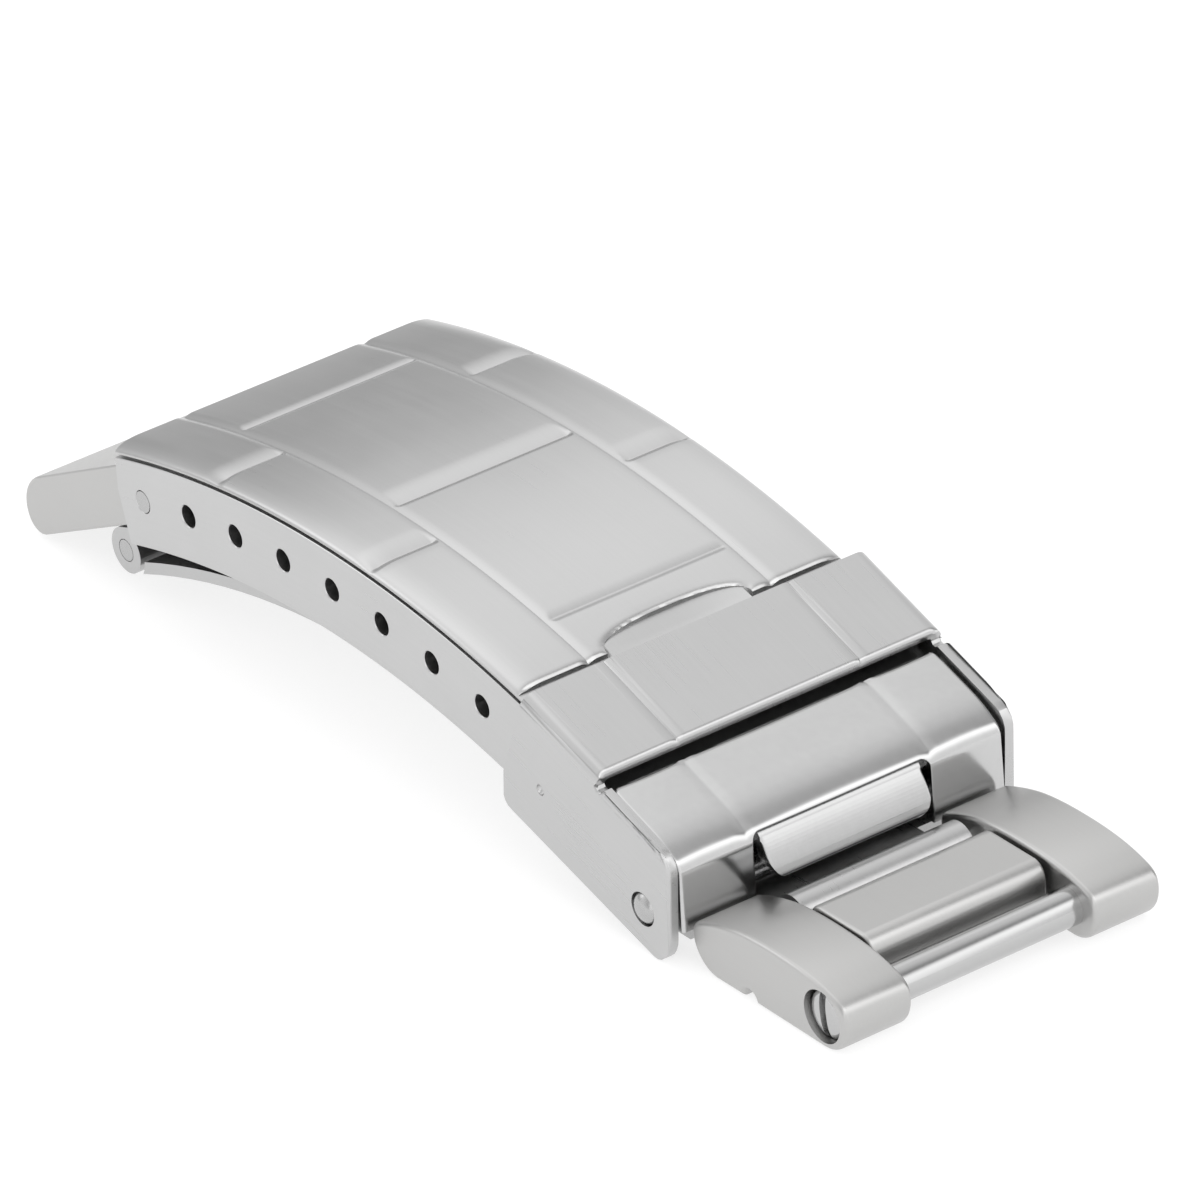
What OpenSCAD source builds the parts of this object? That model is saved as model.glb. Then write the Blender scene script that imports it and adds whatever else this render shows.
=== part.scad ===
// Folding watch clasp with a flip lock, shut.
// Millimetres. X runs along the strap, Y across it and Z up from the table.
// Nearly everything is laid out from the lock pin, and seat() lifts it into place.

/* [Cover] */
// Width over the side walls of the cover
cover_width = 17; // [16:0.5:20]
// Thickness of the cover sheet
cover_sheet = 0.6; // [0.5:0.05:0.7]
// Radius of the top of the cover, which is bent to the wrist
cover_radius = 59.75; // [58:0.25:62]
// Depth of the side walls, top face included
cover_depth = 4.7; // [4.4:0.1:4.9]
// Radius of the pressed edge between the top and the walls
cover_edge_radius = 0.35; // [0.2:0.05:0.5]
// Distance between the two lines that part the tile rows
row_spacing = 9.6; // [8:0.1:10]
// Depth of the pressed lines between the tiles
line_depth = 0.12; // [0.05:0.01:0.2]
// Width of the pressed lines
line_width = 0.4; // [0.2:0.05:0.6]
// Distance from the flip lock back to the step where the cover top ends
step_back = 1.15; // [1:0.05:1.3]
// Depth of that step
step_depth = 0.28; // [0.15:0.01:0.3]
// Width of the thumb-nail scallop in the step
scallop_width = 7.6; // [6:0.1:8]
// Length of the thumb-nail scallop along the strap
scallop_length = 1.1; // [0.8:0.1:1.4]
// How far the cover reaches under the flip lock
cover_overlap = 0.2; // [0.15:0.05:0.4]

/* [Adjusting holes] */
// Number of adjusting holes in each wall
hole_count = 8; // [4:1:8]
// Diameter of the adjusting holes
hole_diameter = 1.1; // [1:0.05:1.3]
// Distance from one adjusting hole to the next along the wall
hole_pitch = 3.56; // [3:0.02:3.6]
// Depth of the hole centres below the top of the cover
hole_depth = 2.48; // [2.2:0.05:2.7]

/* [Flip lock] */
// Thickness of the flip lock sheet
lock_sheet = 0.5; // [0.4:0.05:0.6]
// Side clearance between the cover and the flip lock plates
lock_side_gap = 0.05; // [0.04:0.01:0.1]
// Length of the flip lock top along the strap
lock_top_length = 5.3; // [5:0.1:5.8]
// Slope of the catch end, measured down from level
catch_slope = 18.5; // [18:0.25:19]
// Height of the flip lock top over the lock pin, square to the slope
lock_top_height = 4.18; // [4.15:0.01:4.3]
// Outer bend radius at the edges of the flip lock top
lock_bend_radius = 0.7; // [0.6:0.05:0.9]
// Diameter of the pin that the flip lock turns on
lock_pin_diameter = 1.5; // [1.2:0.1:1.6]
// Height of the lock pin over the table
lock_pin_height = 2.1; // [2.1:0.05:2.4]

/* [Catch] */
// Side clearance between the catch frame and the flip lock plates
frame_side_gap = 0.25; // [0.2:0.05:0.4]
// Thickness of the frame sheet
frame_sheet = 0.6; // [0.5:0.05:0.7]
// Thickness of the polished panel
panel_sheet = 0.5; // [0.4:0.05:0.55]
// Distance from the lock pin forward to the face of the panel lips
lip_reach = 1.95; // [1.8:0.05:2]
// Width of the notch in the panel lips
notch_width = 9.3; // [8.6:0.1:9.6]
// Side gap between the centre tab and the notch
tab_gap = 0.45; // [0.3:0.05:0.6]
// Radius of the two lower corners of the centre tab
tab_corner = 1.1; // [0.6:0.1:1.2]
// Gap between the cover's pin curl and the nose of the catch frame
catch_gap = 0.15; // [0.12:0.01:0.3]

/* [Blades] */
// Thickness of both blades
blade_sheet = 0.55; // [0.45:0.05:0.6]
// Side clearance between the blades and the walls of the cover
blade_side_gap = 0.4; // [0.3:0.05:0.8]
// Bend radius of the outer blade
outer_blade_radius = 52; // [51:0.5:54]
// Width of the centre finger of the inner blade at the fold
finger_width = 7.2; // [5:0.2:8]
// Side gap between the fingers of the two blades
finger_gap = 0.15; // [0.1:0.05:0.3]
// Side clearance between the tongue and the side links
tongue_side_gap = 0.35; // [0.3:0.05:0.8]

/* [Pins] */
// Diameter of the blade pins and the link pin
pin_diameter = 1; // [0.9:0.05:1.1]
// Radial running clearance of a pin in its curl
pin_clearance = 0.03; // [0.02:0.01:0.06]

/* [End link] */
// Step from the side of the catch frame to the side of the side links
link_step = 0.1; // [0.05:0.05:0.4]
// Distance between the two side links
link_gap = 9.5; // [9.3:0.1:10]
// Thickness of the side links
link_height = 3.3; // [3:0.05:3.35]
// Radius of the crowned top of the side links
link_crown = 14; // [13:0.5:20]
// Distance from the link pin to the screw bar
link_reach = 6.9; // [6.5:0.1:7.5]
// Diameter of the screw bar
screw_diameter = 1.7; // [1.5:0.05:1.8]
// Diameter of the screw head
screw_head_diameter = 2.3; // [2.1:0.05:2.4]
// Height of the centre link
centre_height = 2.85; // [2.5:0.05:3]

/* [Band link and spring bar] */
// Side play of the band link inside the cover, on each side
band_side_gap = 0.25; // [0.2:0.05:0.4]
// Length of the band link from the spring bar to its nose
band_length = 12; // [11:0.25:14]
// Height of the band link over the spring bar axis
band_upper = 1.6; // [1.4:0.05:1.6]
// Depth of the band link under the spring bar axis
band_lower = 1.15; // [1.1:0.05:1.25]
// Gap between the band link and the curl that it rests on
band_rest_gap = 0.05; // [0.03:0.01:0.2]
// Diameter of the spring bar tube
tube_diameter = 1.8; // [1.7:0.05:1.9]
// Diameter of the spring bar tips
tip_diameter = 1; // [0.9:0.05:1]

/* [Hidden] */
$fn = 64;

// Distance of the lock pin from the middle of the clasp along the strap
lock_pin_x = 17.17;
// Length of a cutting block that is larger than any piece
clear = 60;

// Half widths across the strap
cover_half = cover_width / 2;
cover_inner = cover_half - cover_sheet;
lock_inner = cover_half + lock_side_gap;
lock_half = lock_inner + lock_sheet;
frame_half = lock_inner - frame_side_gap;
frame_width = 2 * frame_half;
frame_inner = frame_half - frame_sheet;
blade_half = cover_inner - blade_side_gap;
blade_width = 2 * blade_half;
link_half = frame_half - link_step;
gap_half = link_gap / 2;
tongue_half = gap_half - tongue_side_gap;

// Places in the plane across the pins, as [x, z] from the lock pin
fold_at = [-39.46, 0.04];
cover_pin_at = [-6.91, 2.75];
link_pin_at = [4.1, -0.545];

// Slope frame: distance s down the catch slope, and height n square to it
function on_slope(s, n) = [
    s * cos(catch_slope) + n * sin(catch_slope),
    n * cos(catch_slope) - s * sin(catch_slope)
];
// Distance s on the slope of the point at distance x and height n
function slope_at(x, n) = (x - n * sin(catch_slope)) / cos(catch_slope);
// Height z on the slope of the point at distance x and slope height n
function slope_z(x, n) = (n - x * sin(catch_slope)) / cos(catch_slope);
// Point at a radius and an angle from upright, round the cover's centre
function on_cover(radius, lean) = [
    cover_centre.x + radius * sin(lean),
    cover_centre.y + radius * cos(lean)
];

// Flip lock top and what lies under it, by height on the slope
lock_under = lock_top_height - lock_sheet;
panel_top = lock_under - 0.25;
deck_top = panel_top - panel_sheet;
deck_under = deck_top - frame_sheet;
lock_back_s = -9.45;
lock_front_s = lock_back_s + lock_top_length;
panel_from_s = lock_front_s + 0.3;

// Ends of the cover top and of the catch nose
lock_back_x = on_slope(lock_back_s, lock_top_height).x;
cover_end_x = lock_back_x + cover_overlap;
cover_under_gap = 0.192;
cover_end_at = [cover_end_x, slope_z(cover_end_x, lock_under - cover_under_gap)];
cover_start_at = [-38.08, 6.255];
cover_start_x = cover_start_at.x;

// The cover's arc runs through both ends of its top
cover_chord = norm(cover_end_at - cover_start_at);
cover_along = (cover_end_at - cover_start_at) / cover_chord;
cover_centre = (cover_start_at + cover_end_at) / 2
    + sqrt(cover_radius ^ 2 - (cover_chord / 2) ^ 2)
    * [cover_along.y, -cover_along.x];
cover_end_lean = asin((cover_end_x - cover_centre.x) / cover_radius);
ear_radius = 1.45;
wall_start_x = cover_pin_at.x + ear_radius + 0.26;

// Pressed lines across the centre row and the side rows, by lean from upright
centre_line_leans = [-10.6, 0.35, 10.8];
side_line_leans = [-7.1, 3.6];
line_land = line_width / 2 + 0.1;

// Adjusting holes, by lean from upright
hole_radius = cover_radius - hole_depth;
first_hole_inset = 1.88;
first_hole_lean = asin(
    (cover_start_x + first_hole_inset - cover_centre.x) / hole_radius
);
hole_step = hole_pitch / hole_radius * 180 / PI;
spring_bar_at = on_cover(hole_radius, first_hole_lean);

// Curls round the pins
pin_radius = pin_diameter / 2;
bore_radius = pin_radius + pin_clearance;
curl_radius = bore_radius + blade_sheet;
curl_middle = bore_radius + blade_sheet / 2;
nose_x = cover_pin_at.x + curl_radius + catch_gap;

// Outer blade: it leaves the top of one curl and meets the bottom of the other
fold_to_cover = norm(cover_pin_at - fold_at);
reach_fold = outer_blade_radius - curl_middle;
reach_cover = outer_blade_radius + curl_middle;
along = (reach_fold ^ 2 - reach_cover ^ 2 + fold_to_cover ^ 2)
    / (2 * fold_to_cover);
aside = sqrt(reach_fold ^ 2 - along ^ 2);
to_cover = (cover_pin_at - fold_at) / fold_to_cover;
outer_centre = fold_at + along * to_cover + aside * [to_cover.y, -to_cover.x];

// Inner blade: an arc, a straight on the catch slope and a level tongue
inner_centre = [-20.8, -44.8];
inner_radius = norm(fold_at - inner_centre) - curl_middle;
inner_bend_s = slope_at(
    inner_centre.x + inner_radius * sin(catch_slope), 0
);
straight_from = inner_centre + inner_radius * [sin(catch_slope), cos(catch_slope)];
straight_n = straight_from.x * sin(catch_slope)
    + straight_from.y * cos(catch_slope);
tongue_z = link_pin_at.y - curl_middle;
tongue_from_x = (straight_n - tongue_z * cos(catch_slope)) / sin(catch_slope);
straight_length = (tongue_from_x - straight_from.x) / cos(catch_slope);
floor_under = straight_n + blade_sheet / 2;

// Flip lock pin and its domed ends
lock_pin_radius = lock_pin_diameter / 2;
lock_pin_dome = 0.2;

// End link
link_middle_z = -0.45;
link_round = link_height / 2;
lobe_x = link_pin_at.x - 0.3;
screw_at = [link_pin_at.x + link_reach, -0.6];
notch_at_x = 5.96;
notch_radius = 0.45;
centre_from_x = link_pin_at.x + curl_radius + 0.27;
centre_to_x = screw_at.x - screw_diameter / 2 - 0.4;
centre_pin_x = (centre_from_x + centre_to_x) / 2;
centre_side_gap = 0.05;

// Spring bar, from the middle outwards
tip_end = cover_half;
tube_half = cover_inner - 0.7;
crimp_half = tube_half - 0.75;
flange_half = crimp_half - 0.05;
flange_length = 0.6;
wire_radius = 0.1;
coil_radius = 0.44;
coil_turns = 12;
band_half = cover_inner - band_side_gap;

// The band link tilts down until it lies on the curl of the fold
bar_to_fold = fold_at - spring_bar_at;
band_tilt = atan2(-bar_to_fold.y, -bar_to_fold.x)
    - asin((band_lower + curl_radius + band_rest_gap) / norm(bar_to_fold));

// Points along an arc round a centre, from one angle to another
function arc(centre, radius, from, to, steps = 12) = [
    for (i = [0 : steps])
        centre + radius * [
            cos(from + (to - from) * i / steps),
            sin(from + (to - from) * i / steps)
        ]
];

// Lifts a piece that is laid out from the lock pin into place
module seat() {
    translate([lock_pin_x, 0, lock_pin_height]) children();
}

// Stands a flat outline in x and z up and gives it a width from y0 to y1
module across(y0, y1) {
    translate([0, y1, 0]) rotate([90, 0, 0])
        linear_extrude(height = y1 - y0) children();
}

// The same outline on both sides of the strap
module both_sides(y0, y1) {
    across(y0, y1) children();
    across(-y1, -y0) children();
}

// Cylinder across the strap at a point [x, z]
module cross_pin(at, radius, y0, y1) {
    translate([at.x, y1, at.y]) rotate([90, 0, 0])
        cylinder(r = radius, h = y1 - y0);
}

// Ring section swept round a line across the strap, leans from upright
module swept(centre, lean0, lean1) {
    translate([centre.x, 0, centre.y])
        rotate([90, 0, 0]) rotate([0, 0, 90 - lean1])
            rotate_extrude(angle = lean1 - lean0, $fn = 180) children();
}

// Curved strip of sheet with a middle radius
module curved_strip(centre, radius, sheet, width, lean0, lean1) {
    swept(centre, lean0, lean1)
        translate([radius - sheet / 2, -width / 2]) square([sheet, width]);
}

// Block in the slope frame
module slope_block(s0, s1, n0, n1, y0, y1) {
    rotate([0, catch_slope, 0])
        translate([s0, y0, n0]) cube([s1 - s0, y1 - y0, n1 - n0]);
}

// Curl of sheet round a pin
module curl(at, y0, y1) {
    cross_pin(at, curl_radius, y0, y1);
}

// Outline of the cover across the strap, as radius and width
module cover_outline() {
    inside = cover_radius - cover_sheet;
    corner = cover_radius - cover_edge_radius;
    difference() {
        union() {
            translate([cover_radius - cover_depth, -cover_half])
                square([corner - cover_radius + cover_depth, cover_width]);
            translate([corner - 0.1, cover_edge_radius - cover_half])
                square([0.1 + cover_edge_radius,
                        cover_width - 2 * cover_edge_radius]);
            for (side = [-1, 1])
                translate([corner, side * (cover_half - cover_edge_radius)])
                    circle(r = cover_edge_radius);
        }
        translate([cover_radius - cover_depth - 1, -cover_inner])
            square([inside - cover_radius + cover_depth + 1, 2 * cover_inner]);
    }
}

// Outline of a pressed line, as height over the cover's centre and width
module line_outline() {
    above = 0.2;
    half = line_width / 2 * (line_depth + above) / line_depth;
    polygon([
        [cover_radius - line_depth, 0],
        [cover_radius + above, half],
        [cover_radius + above, -half]
    ]);
}

// Pressed line along the cover between two tile rows
module row_line(y) {
    swept(cover_centre, first_hole_lean - 3, cover_end_lean + 1)
        translate([0, y]) line_outline();
}

// Pressed line across the cover at a lean
module cross_line(lean, y0, y1) {
    translate([cover_centre.x, 0, cover_centre.y]) rotate([0, lean - 90, 0])
        across(y0, y1) line_outline();
}

// Step down to the lip that goes under the flip lock, scalloped for the thumb nail
module end_step() {
    step_x = lock_back_x - step_back;
    round = ((scallop_width / 2) ^ 2 + scallop_length ^ 2) / (2 * scallop_length);
    intersection() {
        swept(cover_centre, cover_end_lean - 8, cover_end_lean + 6)
            translate([cover_radius - step_depth, -cover_width])
                square([2, 2 * cover_width]);
        union() {
            translate([step_x, -cover_width, -clear / 2])
                cube([clear, 2 * cover_width, clear]);
            translate([step_x - scallop_length + round, 0, -clear / 2])
                cylinder(r = round, h = clear);
        }
    }
}

// Side view of the cover: the arc up to its end and an ear round the cover pin
module cover_side_view() {
    polygon(concat(
        [
            [cover_start_x, fold_at.y - 5],
            [cover_start_x, cover_centre.y + cover_radius],
            on_cover(cover_radius + 5, cover_end_lean),
            on_cover(cover_radius - cover_sheet - 0.2, cover_end_lean)
        ],
        arc(cover_pin_at, ear_radius, 40, -100),
        [cover_pin_at - [1.2, 3]]
    ));
}

module cover_shell() {
    start_lean = asin((cover_start_x - cover_centre.x)
        / (cover_radius - cover_depth)) - 1;
    row = row_spacing / 2;
    color("silver") seat() difference() {
        intersection() {
            swept(cover_centre, start_lean, cover_end_lean + 6) cover_outline();
            across(-cover_width, cover_width) cover_side_view();
        }
        for (i = [0 : hole_count - 1])
            cross_pin(
                on_cover(hole_radius, first_hole_lean + i * hole_step),
                hole_diameter / 2, -cover_width, cover_width
            );
        cross_pin(cover_pin_at, bore_radius, -cover_width, cover_width);
        for (side = [-1, 1]) row_line(side * row);
        for (lean = centre_line_leans)
            cross_line(lean, line_land - row, row - line_land);
        for (side = [0, 1], lean = side_line_leans)
            mirror([0, side, 0])
                cross_line(lean, row + line_land,
                    cover_half - cover_edge_radius - 0.1);
        end_step();
    }
}

module outer_blade() {
    lean0 = asin((fold_at.x - outer_centre.x) / reach_fold);
    lean1 = asin((cover_pin_at.x - outer_centre.x) / reach_cover);
    inner_half = finger_width / 2 + finger_gap;
    color("silver") seat() difference() {
        union() {
            curved_strip(outer_centre, outer_blade_radius, blade_sheet,
                blade_width, lean0, lean1);
            curl(fold_at, -blade_half, blade_half);
            curl(cover_pin_at, -blade_half, blade_half);
        }
        cross_pin(fold_at, bore_radius, -blade_width, blade_width);
        cross_pin(cover_pin_at, bore_radius, -blade_width, blade_width);
        cross_pin(fold_at, curl_radius + 0.3, -inner_half, inner_half);
    }
}

module inner_blade() {
    lean0 = asin((fold_at.x - inner_centre.x) / norm(fold_at - inner_centre));
    half = blade_sheet / 2;
    side_from = finger_width / 2;
    color("silver") seat() difference() {
        union() {
            curved_strip(inner_centre, inner_radius, blade_sheet,
                blade_width, lean0, catch_slope);
            curl(fold_at, -side_from, side_from);
            translate([straight_from.x, 0, straight_from.y])
                rotate([0, catch_slope, 0])
                    translate([0, -blade_half, -half])
                        cube([straight_length, blade_width, blade_sheet]);
            cross_pin([tongue_from_x, tongue_z], half,
                -blade_half, blade_half);
            translate([tongue_from_x, -blade_half, tongue_z - half])
                cube([1.2, blade_width, blade_sheet]);
            translate([tongue_from_x, -tongue_half, tongue_z - half])
                cube([link_pin_at.x - tongue_from_x, 2 * tongue_half,
                      blade_sheet]);
            curl(link_pin_at, -tongue_half, tongue_half);
        }
        cross_pin(fold_at, bore_radius, -blade_width, blade_width);
        cross_pin(link_pin_at, bore_radius, -blade_width, blade_width);
        both_sides(side_from, blade_width)
            translate(fold_at) circle(r = curl_radius + 0.3);
        rivet_holes();
    }
}

// Rivets through the frame floor and the inner blade
rivet_s = -3.1;
rivet_y = frame_inner - 1.5;
rivet_radius = 0.5;
rivet_head_radius = 0.85;
rivet_head = 0.3;
floor_sheet = 0.5;

module on_rivet(side) {
    rotate([0, catch_slope, 0]) translate([rivet_s, side * rivet_y, 0])
        children();
}

module rivet_holes() {
    for (side = [-1, 1])
        on_rivet(side) translate([0, 0, floor_under - 2])
            cylinder(r = rivet_radius, h = 4);
}

module frame_rivet(side) {
    below = blade_sheet + rivet_head;
    color("gainsboro") seat() on_rivet(side) {
        translate([0, 0, floor_under - below])
            cylinder(r1 = rivet_head_radius - 0.15, r2 = rivet_head_radius,
                h = rivet_head);
        translate([0, 0, floor_under - blade_sheet])
            cylinder(r = rivet_radius, h = blade_sheet + floor_sheet);
        translate([0, 0, floor_under + floor_sheet])
            cylinder(r1 = rivet_head_radius, r2 = rivet_head_radius - 0.15,
                h = rivet_head);
    }
}

module frame_rivet_near() { frame_rivet(-1); }

module frame_rivet_far() { frame_rivet(1); }

// Inside corner of the panel lip in x, where the frame ends
frame_front_x = lip_reach - panel_sheet;
lip_foot_z = -0.57;

module catch_frame() {
    tab_half = notch_width / 2 - tab_gap;
    deck_start = slope_at(wall_start_x, deck_top);
    deck_end = slope_at(frame_front_x, deck_top);
    floor_end = -1.1;
    floor_start = slope_at(wall_start_x, floor_under) + 0.2;
    color("gainsboro") seat() difference() {
        union() {
            intersection() {
                slope_block(slope_at(nose_x, panel_top) - 1, deck_end + 1,
                    deck_under, deck_top, -frame_half, frame_half);
                translate([wall_start_x, -clear / 2, -clear / 2])
                    cube([frame_front_x - wall_start_x, clear, clear]);
            }
            intersection() {
                slope_block(slope_at(nose_x, panel_top) - 1, deck_start + 0.6,
                    deck_under, deck_top, 0.3 - cover_inner, cover_inner - 0.3);
                translate([nose_x, -clear / 2, -clear / 2]) cube(clear);
            }
            both_sides(frame_inner, frame_half) polygon([
                [wall_start_x, slope_z(wall_start_x, deck_under + 0.2)],
                [frame_front_x, slope_z(frame_front_x, deck_under + 0.2)],
                [frame_front_x, lip_foot_z],
                [0.9, tongue_z + blade_sheet / 2 + 0.1],
                [tongue_from_x, slope_z(tongue_from_x, floor_under)],
                [wall_start_x, slope_z(wall_start_x, floor_under)]
            ]);
            for (side = [0, 1]) mirror([0, side, 0])
                slope_block(floor_start, floor_end, floor_under,
                    floor_under + floor_sheet, frame_inner - 2.6,
                    frame_inner + 0.1);
            centre_tab(tab_half);
        }
        cross_pin([0, 0], lock_pin_radius + pin_clearance,
            -frame_width, frame_width);
        rivet_holes();
    }
}

// Tab that bends down in front of the frame, between the panel lips
module centre_tab(half) {
    face_lean = 29;
    face_reach = frame_front_x + 1.17;
    foot = frame_sheet / 2;
    back_x = frame_front_x - 0.6;
    level = deck_top - 0.05;
    bend_at = [frame_front_x + 0.05, slope_z(frame_front_x + 0.05, level)]
        - frame_sheet * [sin(catch_slope), cos(catch_slope)];
    out = [cos(face_lean), sin(face_lean)];
    down = [sin(face_lean), -cos(face_lean)];
    face_top = bend_at + frame_sheet * out;
    face_foot = face_top + down * (face_reach - face_top.x) / down.x;
    foot_at = face_foot - foot * out;
    low = foot_at.y - foot - 0.08;
    intersection() {
        across(-half - 0.5, half + 0.5) polygon(concat(
            [
                [back_x, slope_z(back_x, deck_under)],
                [back_x, slope_z(back_x, level)]
            ],
            arc(bend_at, frame_sheet, 90 - catch_slope, face_lean, 6),
            arc(foot_at, foot, face_lean, face_lean - 180, 8),
            [bend_at]
        ));
        translate([back_x - 1, 0, 0]) rotate([90, 0, 90])
            linear_extrude(5) polygon(concat(
                [[half, low + 6], [-half, low + 6]],
                arc([tab_corner - half, low + tab_corner], tab_corner,
                    180, 270, 8),
                arc([half - tab_corner, low + tab_corner], tab_corner,
                    -90, 0, 8)
            ));
    }
}

module catch_panel() {
    color("gainsboro") seat() difference() {
        across(-frame_half, frame_half) polygon([
            on_slope(panel_from_s, deck_top),
            on_slope(panel_from_s, panel_top),
            [lip_reach - 0.45, slope_z(lip_reach - 0.45, panel_top)],
            [lip_reach, slope_z(lip_reach, panel_top) - 0.4],
            [lip_reach, lip_foot_z],
            [frame_front_x, lip_foot_z],
            [frame_front_x, slope_z(frame_front_x, deck_top)]
        ]);
        translate([frame_front_x - 0.01, -notch_width / 2, lip_foot_z - 1])
            cube([2, notch_width, slope_z(frame_front_x, deck_top) - lip_foot_z + 1]);
    }
}

module lock_pin() {
    color("gainsboro") seat() {
        cross_pin([0, 0], lock_pin_radius, -lock_half, lock_half);
        for (side = [0, 1]) mirror([0, side, 0])
            translate([0, lock_half, 0]) rotate([-90, 0, 0])
                cylinder(r1 = lock_pin_radius, r2 = lock_pin_radius * 0.6,
                    h = lock_pin_dome);
    }
}

// Side view of the flip lock: its top above, its side plates below
module lock_side_view() {
    top_n = lock_top_height - lock_bend_radius - 0.1;
    front_n = top_n + 0.2;
    polygon([
        on_slope(lock_back_s, lock_top_height + 1),
        on_slope(lock_front_s, lock_top_height + 1),
        on_slope(lock_front_s, top_n),
        on_slope(lock_front_s + 0.3, top_n),
        on_slope(lock_front_s + 0.4, front_n),
        on_slope(0.1, front_n),
        on_slope(0.9, front_n - 0.3),
        on_slope(1.2, front_n - 0.9),
        [1.71, -1.1],
        [1.35, -1.75],
        [0.6, -2.05],
        [-9.2, 0.92],
        [-9.55, 1.25],
        [-9.43, 2.58],
        on_slope(lock_back_s, lock_top_height - 0.2)
    ]);
}

// Section of the flip lock across the strap, as height on the slope and width
module lock_section() {
    inner_bend = lock_bend_radius - lock_sheet;
    bend_n = lock_top_height - lock_bend_radius;
    bend_y = lock_half - lock_bend_radius;
    foot_n = -6;
    polygon(concat(
        [[foot_n, lock_half]],
        arc([bend_n, bend_y], lock_bend_radius, 90, 0),
        arc([bend_n, -bend_y], lock_bend_radius, 0, -90),
        [[foot_n, -lock_half], [foot_n, -lock_inner]],
        arc([bend_n, -bend_y], inner_bend, -90, 0, 4),
        arc([bend_n, bend_y], inner_bend, 0, 90, 4),
        [[foot_n, lock_inner]]
    ));
}

module flip_lock() {
    color("silver") seat() difference() {
        intersection() {
            rotate([0, catch_slope, 0]) translate([lock_back_s - 3, 0, 0])
                rotate([0, -90, 0]) mirror([0, 0, 1])
                    linear_extrude(height = 3 * lock_top_length)
                        lock_section();
            across(-lock_half - 1, lock_half + 1) lock_side_view();
        }
        cross_pin([0, 0], lock_pin_radius + pin_clearance,
            -lock_half - 1, lock_half + 1);
    }
}

module fold_pin() {
    color("gainsboro") seat()
        cross_pin(fold_at, pin_radius, -blade_half, blade_half);
}

module cover_pin() {
    color("gainsboro") seat()
        cross_pin(cover_pin_at, pin_radius, -cover_half, cover_half);
}

module spring_bar_tube() {
    color("gainsboro") seat() difference() {
        cross_pin(spring_bar_at, tube_diameter / 2, -tube_half, tube_half);
        cross_pin(spring_bar_at, tip_diameter / 2 + pin_clearance,
            -tube_half - 1, tube_half + 1);
        cross_pin(spring_bar_at, tip_diameter / 2 + 0.12,
            -crimp_half, crimp_half);
    }
}

module spring_bar_tip(side) {
    mirror([0, side < 0 ? 1 : 0, 0]) {
        cross_pin(spring_bar_at, tip_diameter / 2, flange_half, tip_end);
        cross_pin(spring_bar_at, tip_diameter / 2 + 0.09,
            flange_half - flange_length, flange_half);
    }
}

module spring_bar_tip_near() { color("gainsboro") seat() spring_bar_tip(-1); }

module spring_bar_tip_far() { color("gainsboro") seat() spring_bar_tip(1); }

module spring_bar_spring() {
    half = flange_half - flange_length - 0.02;
    color("gray") seat() translate([spring_bar_at.x, half, spring_bar_at.y])
        rotate([90, 0, 0])
            linear_extrude(height = 2 * half, twist = 360 * coil_turns,
                slices = coil_turns * 14, $fn = 6)
                translate([coil_radius, 0]) circle(r = wire_radius);
}

module band_link() {
    color("silver") seat() translate([spring_bar_at.x, 0, spring_bar_at.y])
        rotate([0, 180 - band_tilt, 0]) mirror([0, 0, 1])
            difference() {
                union() {
                    cross_pin([0, 0], band_upper, -band_half, band_half);
                    across(-band_half, band_half) polygon([
                        [0, band_upper - 0.03],
                        [band_length - 1.3, band_upper - 0.15],
                        [band_length - 0.4, band_upper - 0.75],
                        [band_length, 0.2],
                        [band_length - 0.2, 0.5 - band_lower],
                        [band_length - 0.9, 0.15 - band_lower],
                        [0.2, -band_lower]
                    ]);
                }
                translate([-clear / 2, -clear / 2, -clear - band_lower])
                    cube(clear);
                cross_pin([0, 0], tube_diameter / 2 + pin_clearance,
                    -cover_half, cover_half);
            }
}

// Outline of a side link, two rounded lobes with a nick between them below
module link_outline() {
    difference() {
        union() {
            translate([lobe_x, link_middle_z]) circle(r = link_round);
            translate([screw_at.x, link_middle_z]) circle(r = link_round);
            translate([lobe_x, link_middle_z - link_round])
                square([screw_at.x - lobe_x, link_height]);
        }
        translate([notch_at_x, link_middle_z - link_round])
            circle(r = notch_radius);
    }
}

// Side link as a plain block, its top crowned along the strap
module link_block(from, to) {
    crown_at = [(lobe_x + screw_at.x) / 2 + 0.4,
        link_middle_z + link_round - 0.03 - link_crown];
    intersection() {
        across(from, to) link_outline();
        cross_pin(crown_at, link_crown, from - 1, to + 1);
    }
}

module side_link_near() {
    head_depth = 0.8;
    color("silver") seat() difference() {
        link_block(-link_half, -gap_half);
        cross_pin(link_pin_at, pin_radius, 1.2 - link_half, 0);
        cross_pin([centre_pin_x, link_middle_z], pin_radius,
            -gap_half - 1.6, 0);
        cross_pin(screw_at, screw_diameter / 2, -link_half - 1, 0);
        cross_pin(screw_at, screw_head_diameter / 2 + 0.05,
            -link_half - 1, head_depth - link_half);
    }
}

module side_link_far() {
    color("silver") seat() difference() {
        link_block(gap_half, link_half);
        cross_pin(link_pin_at, pin_radius, 0, link_half - 1.2);
        cross_pin([centre_pin_x, link_middle_z], pin_radius,
            0, gap_half + 1.6);
        cross_pin(screw_at, screw_diameter / 2, 0, link_half - 0.6);
    }
}

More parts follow.
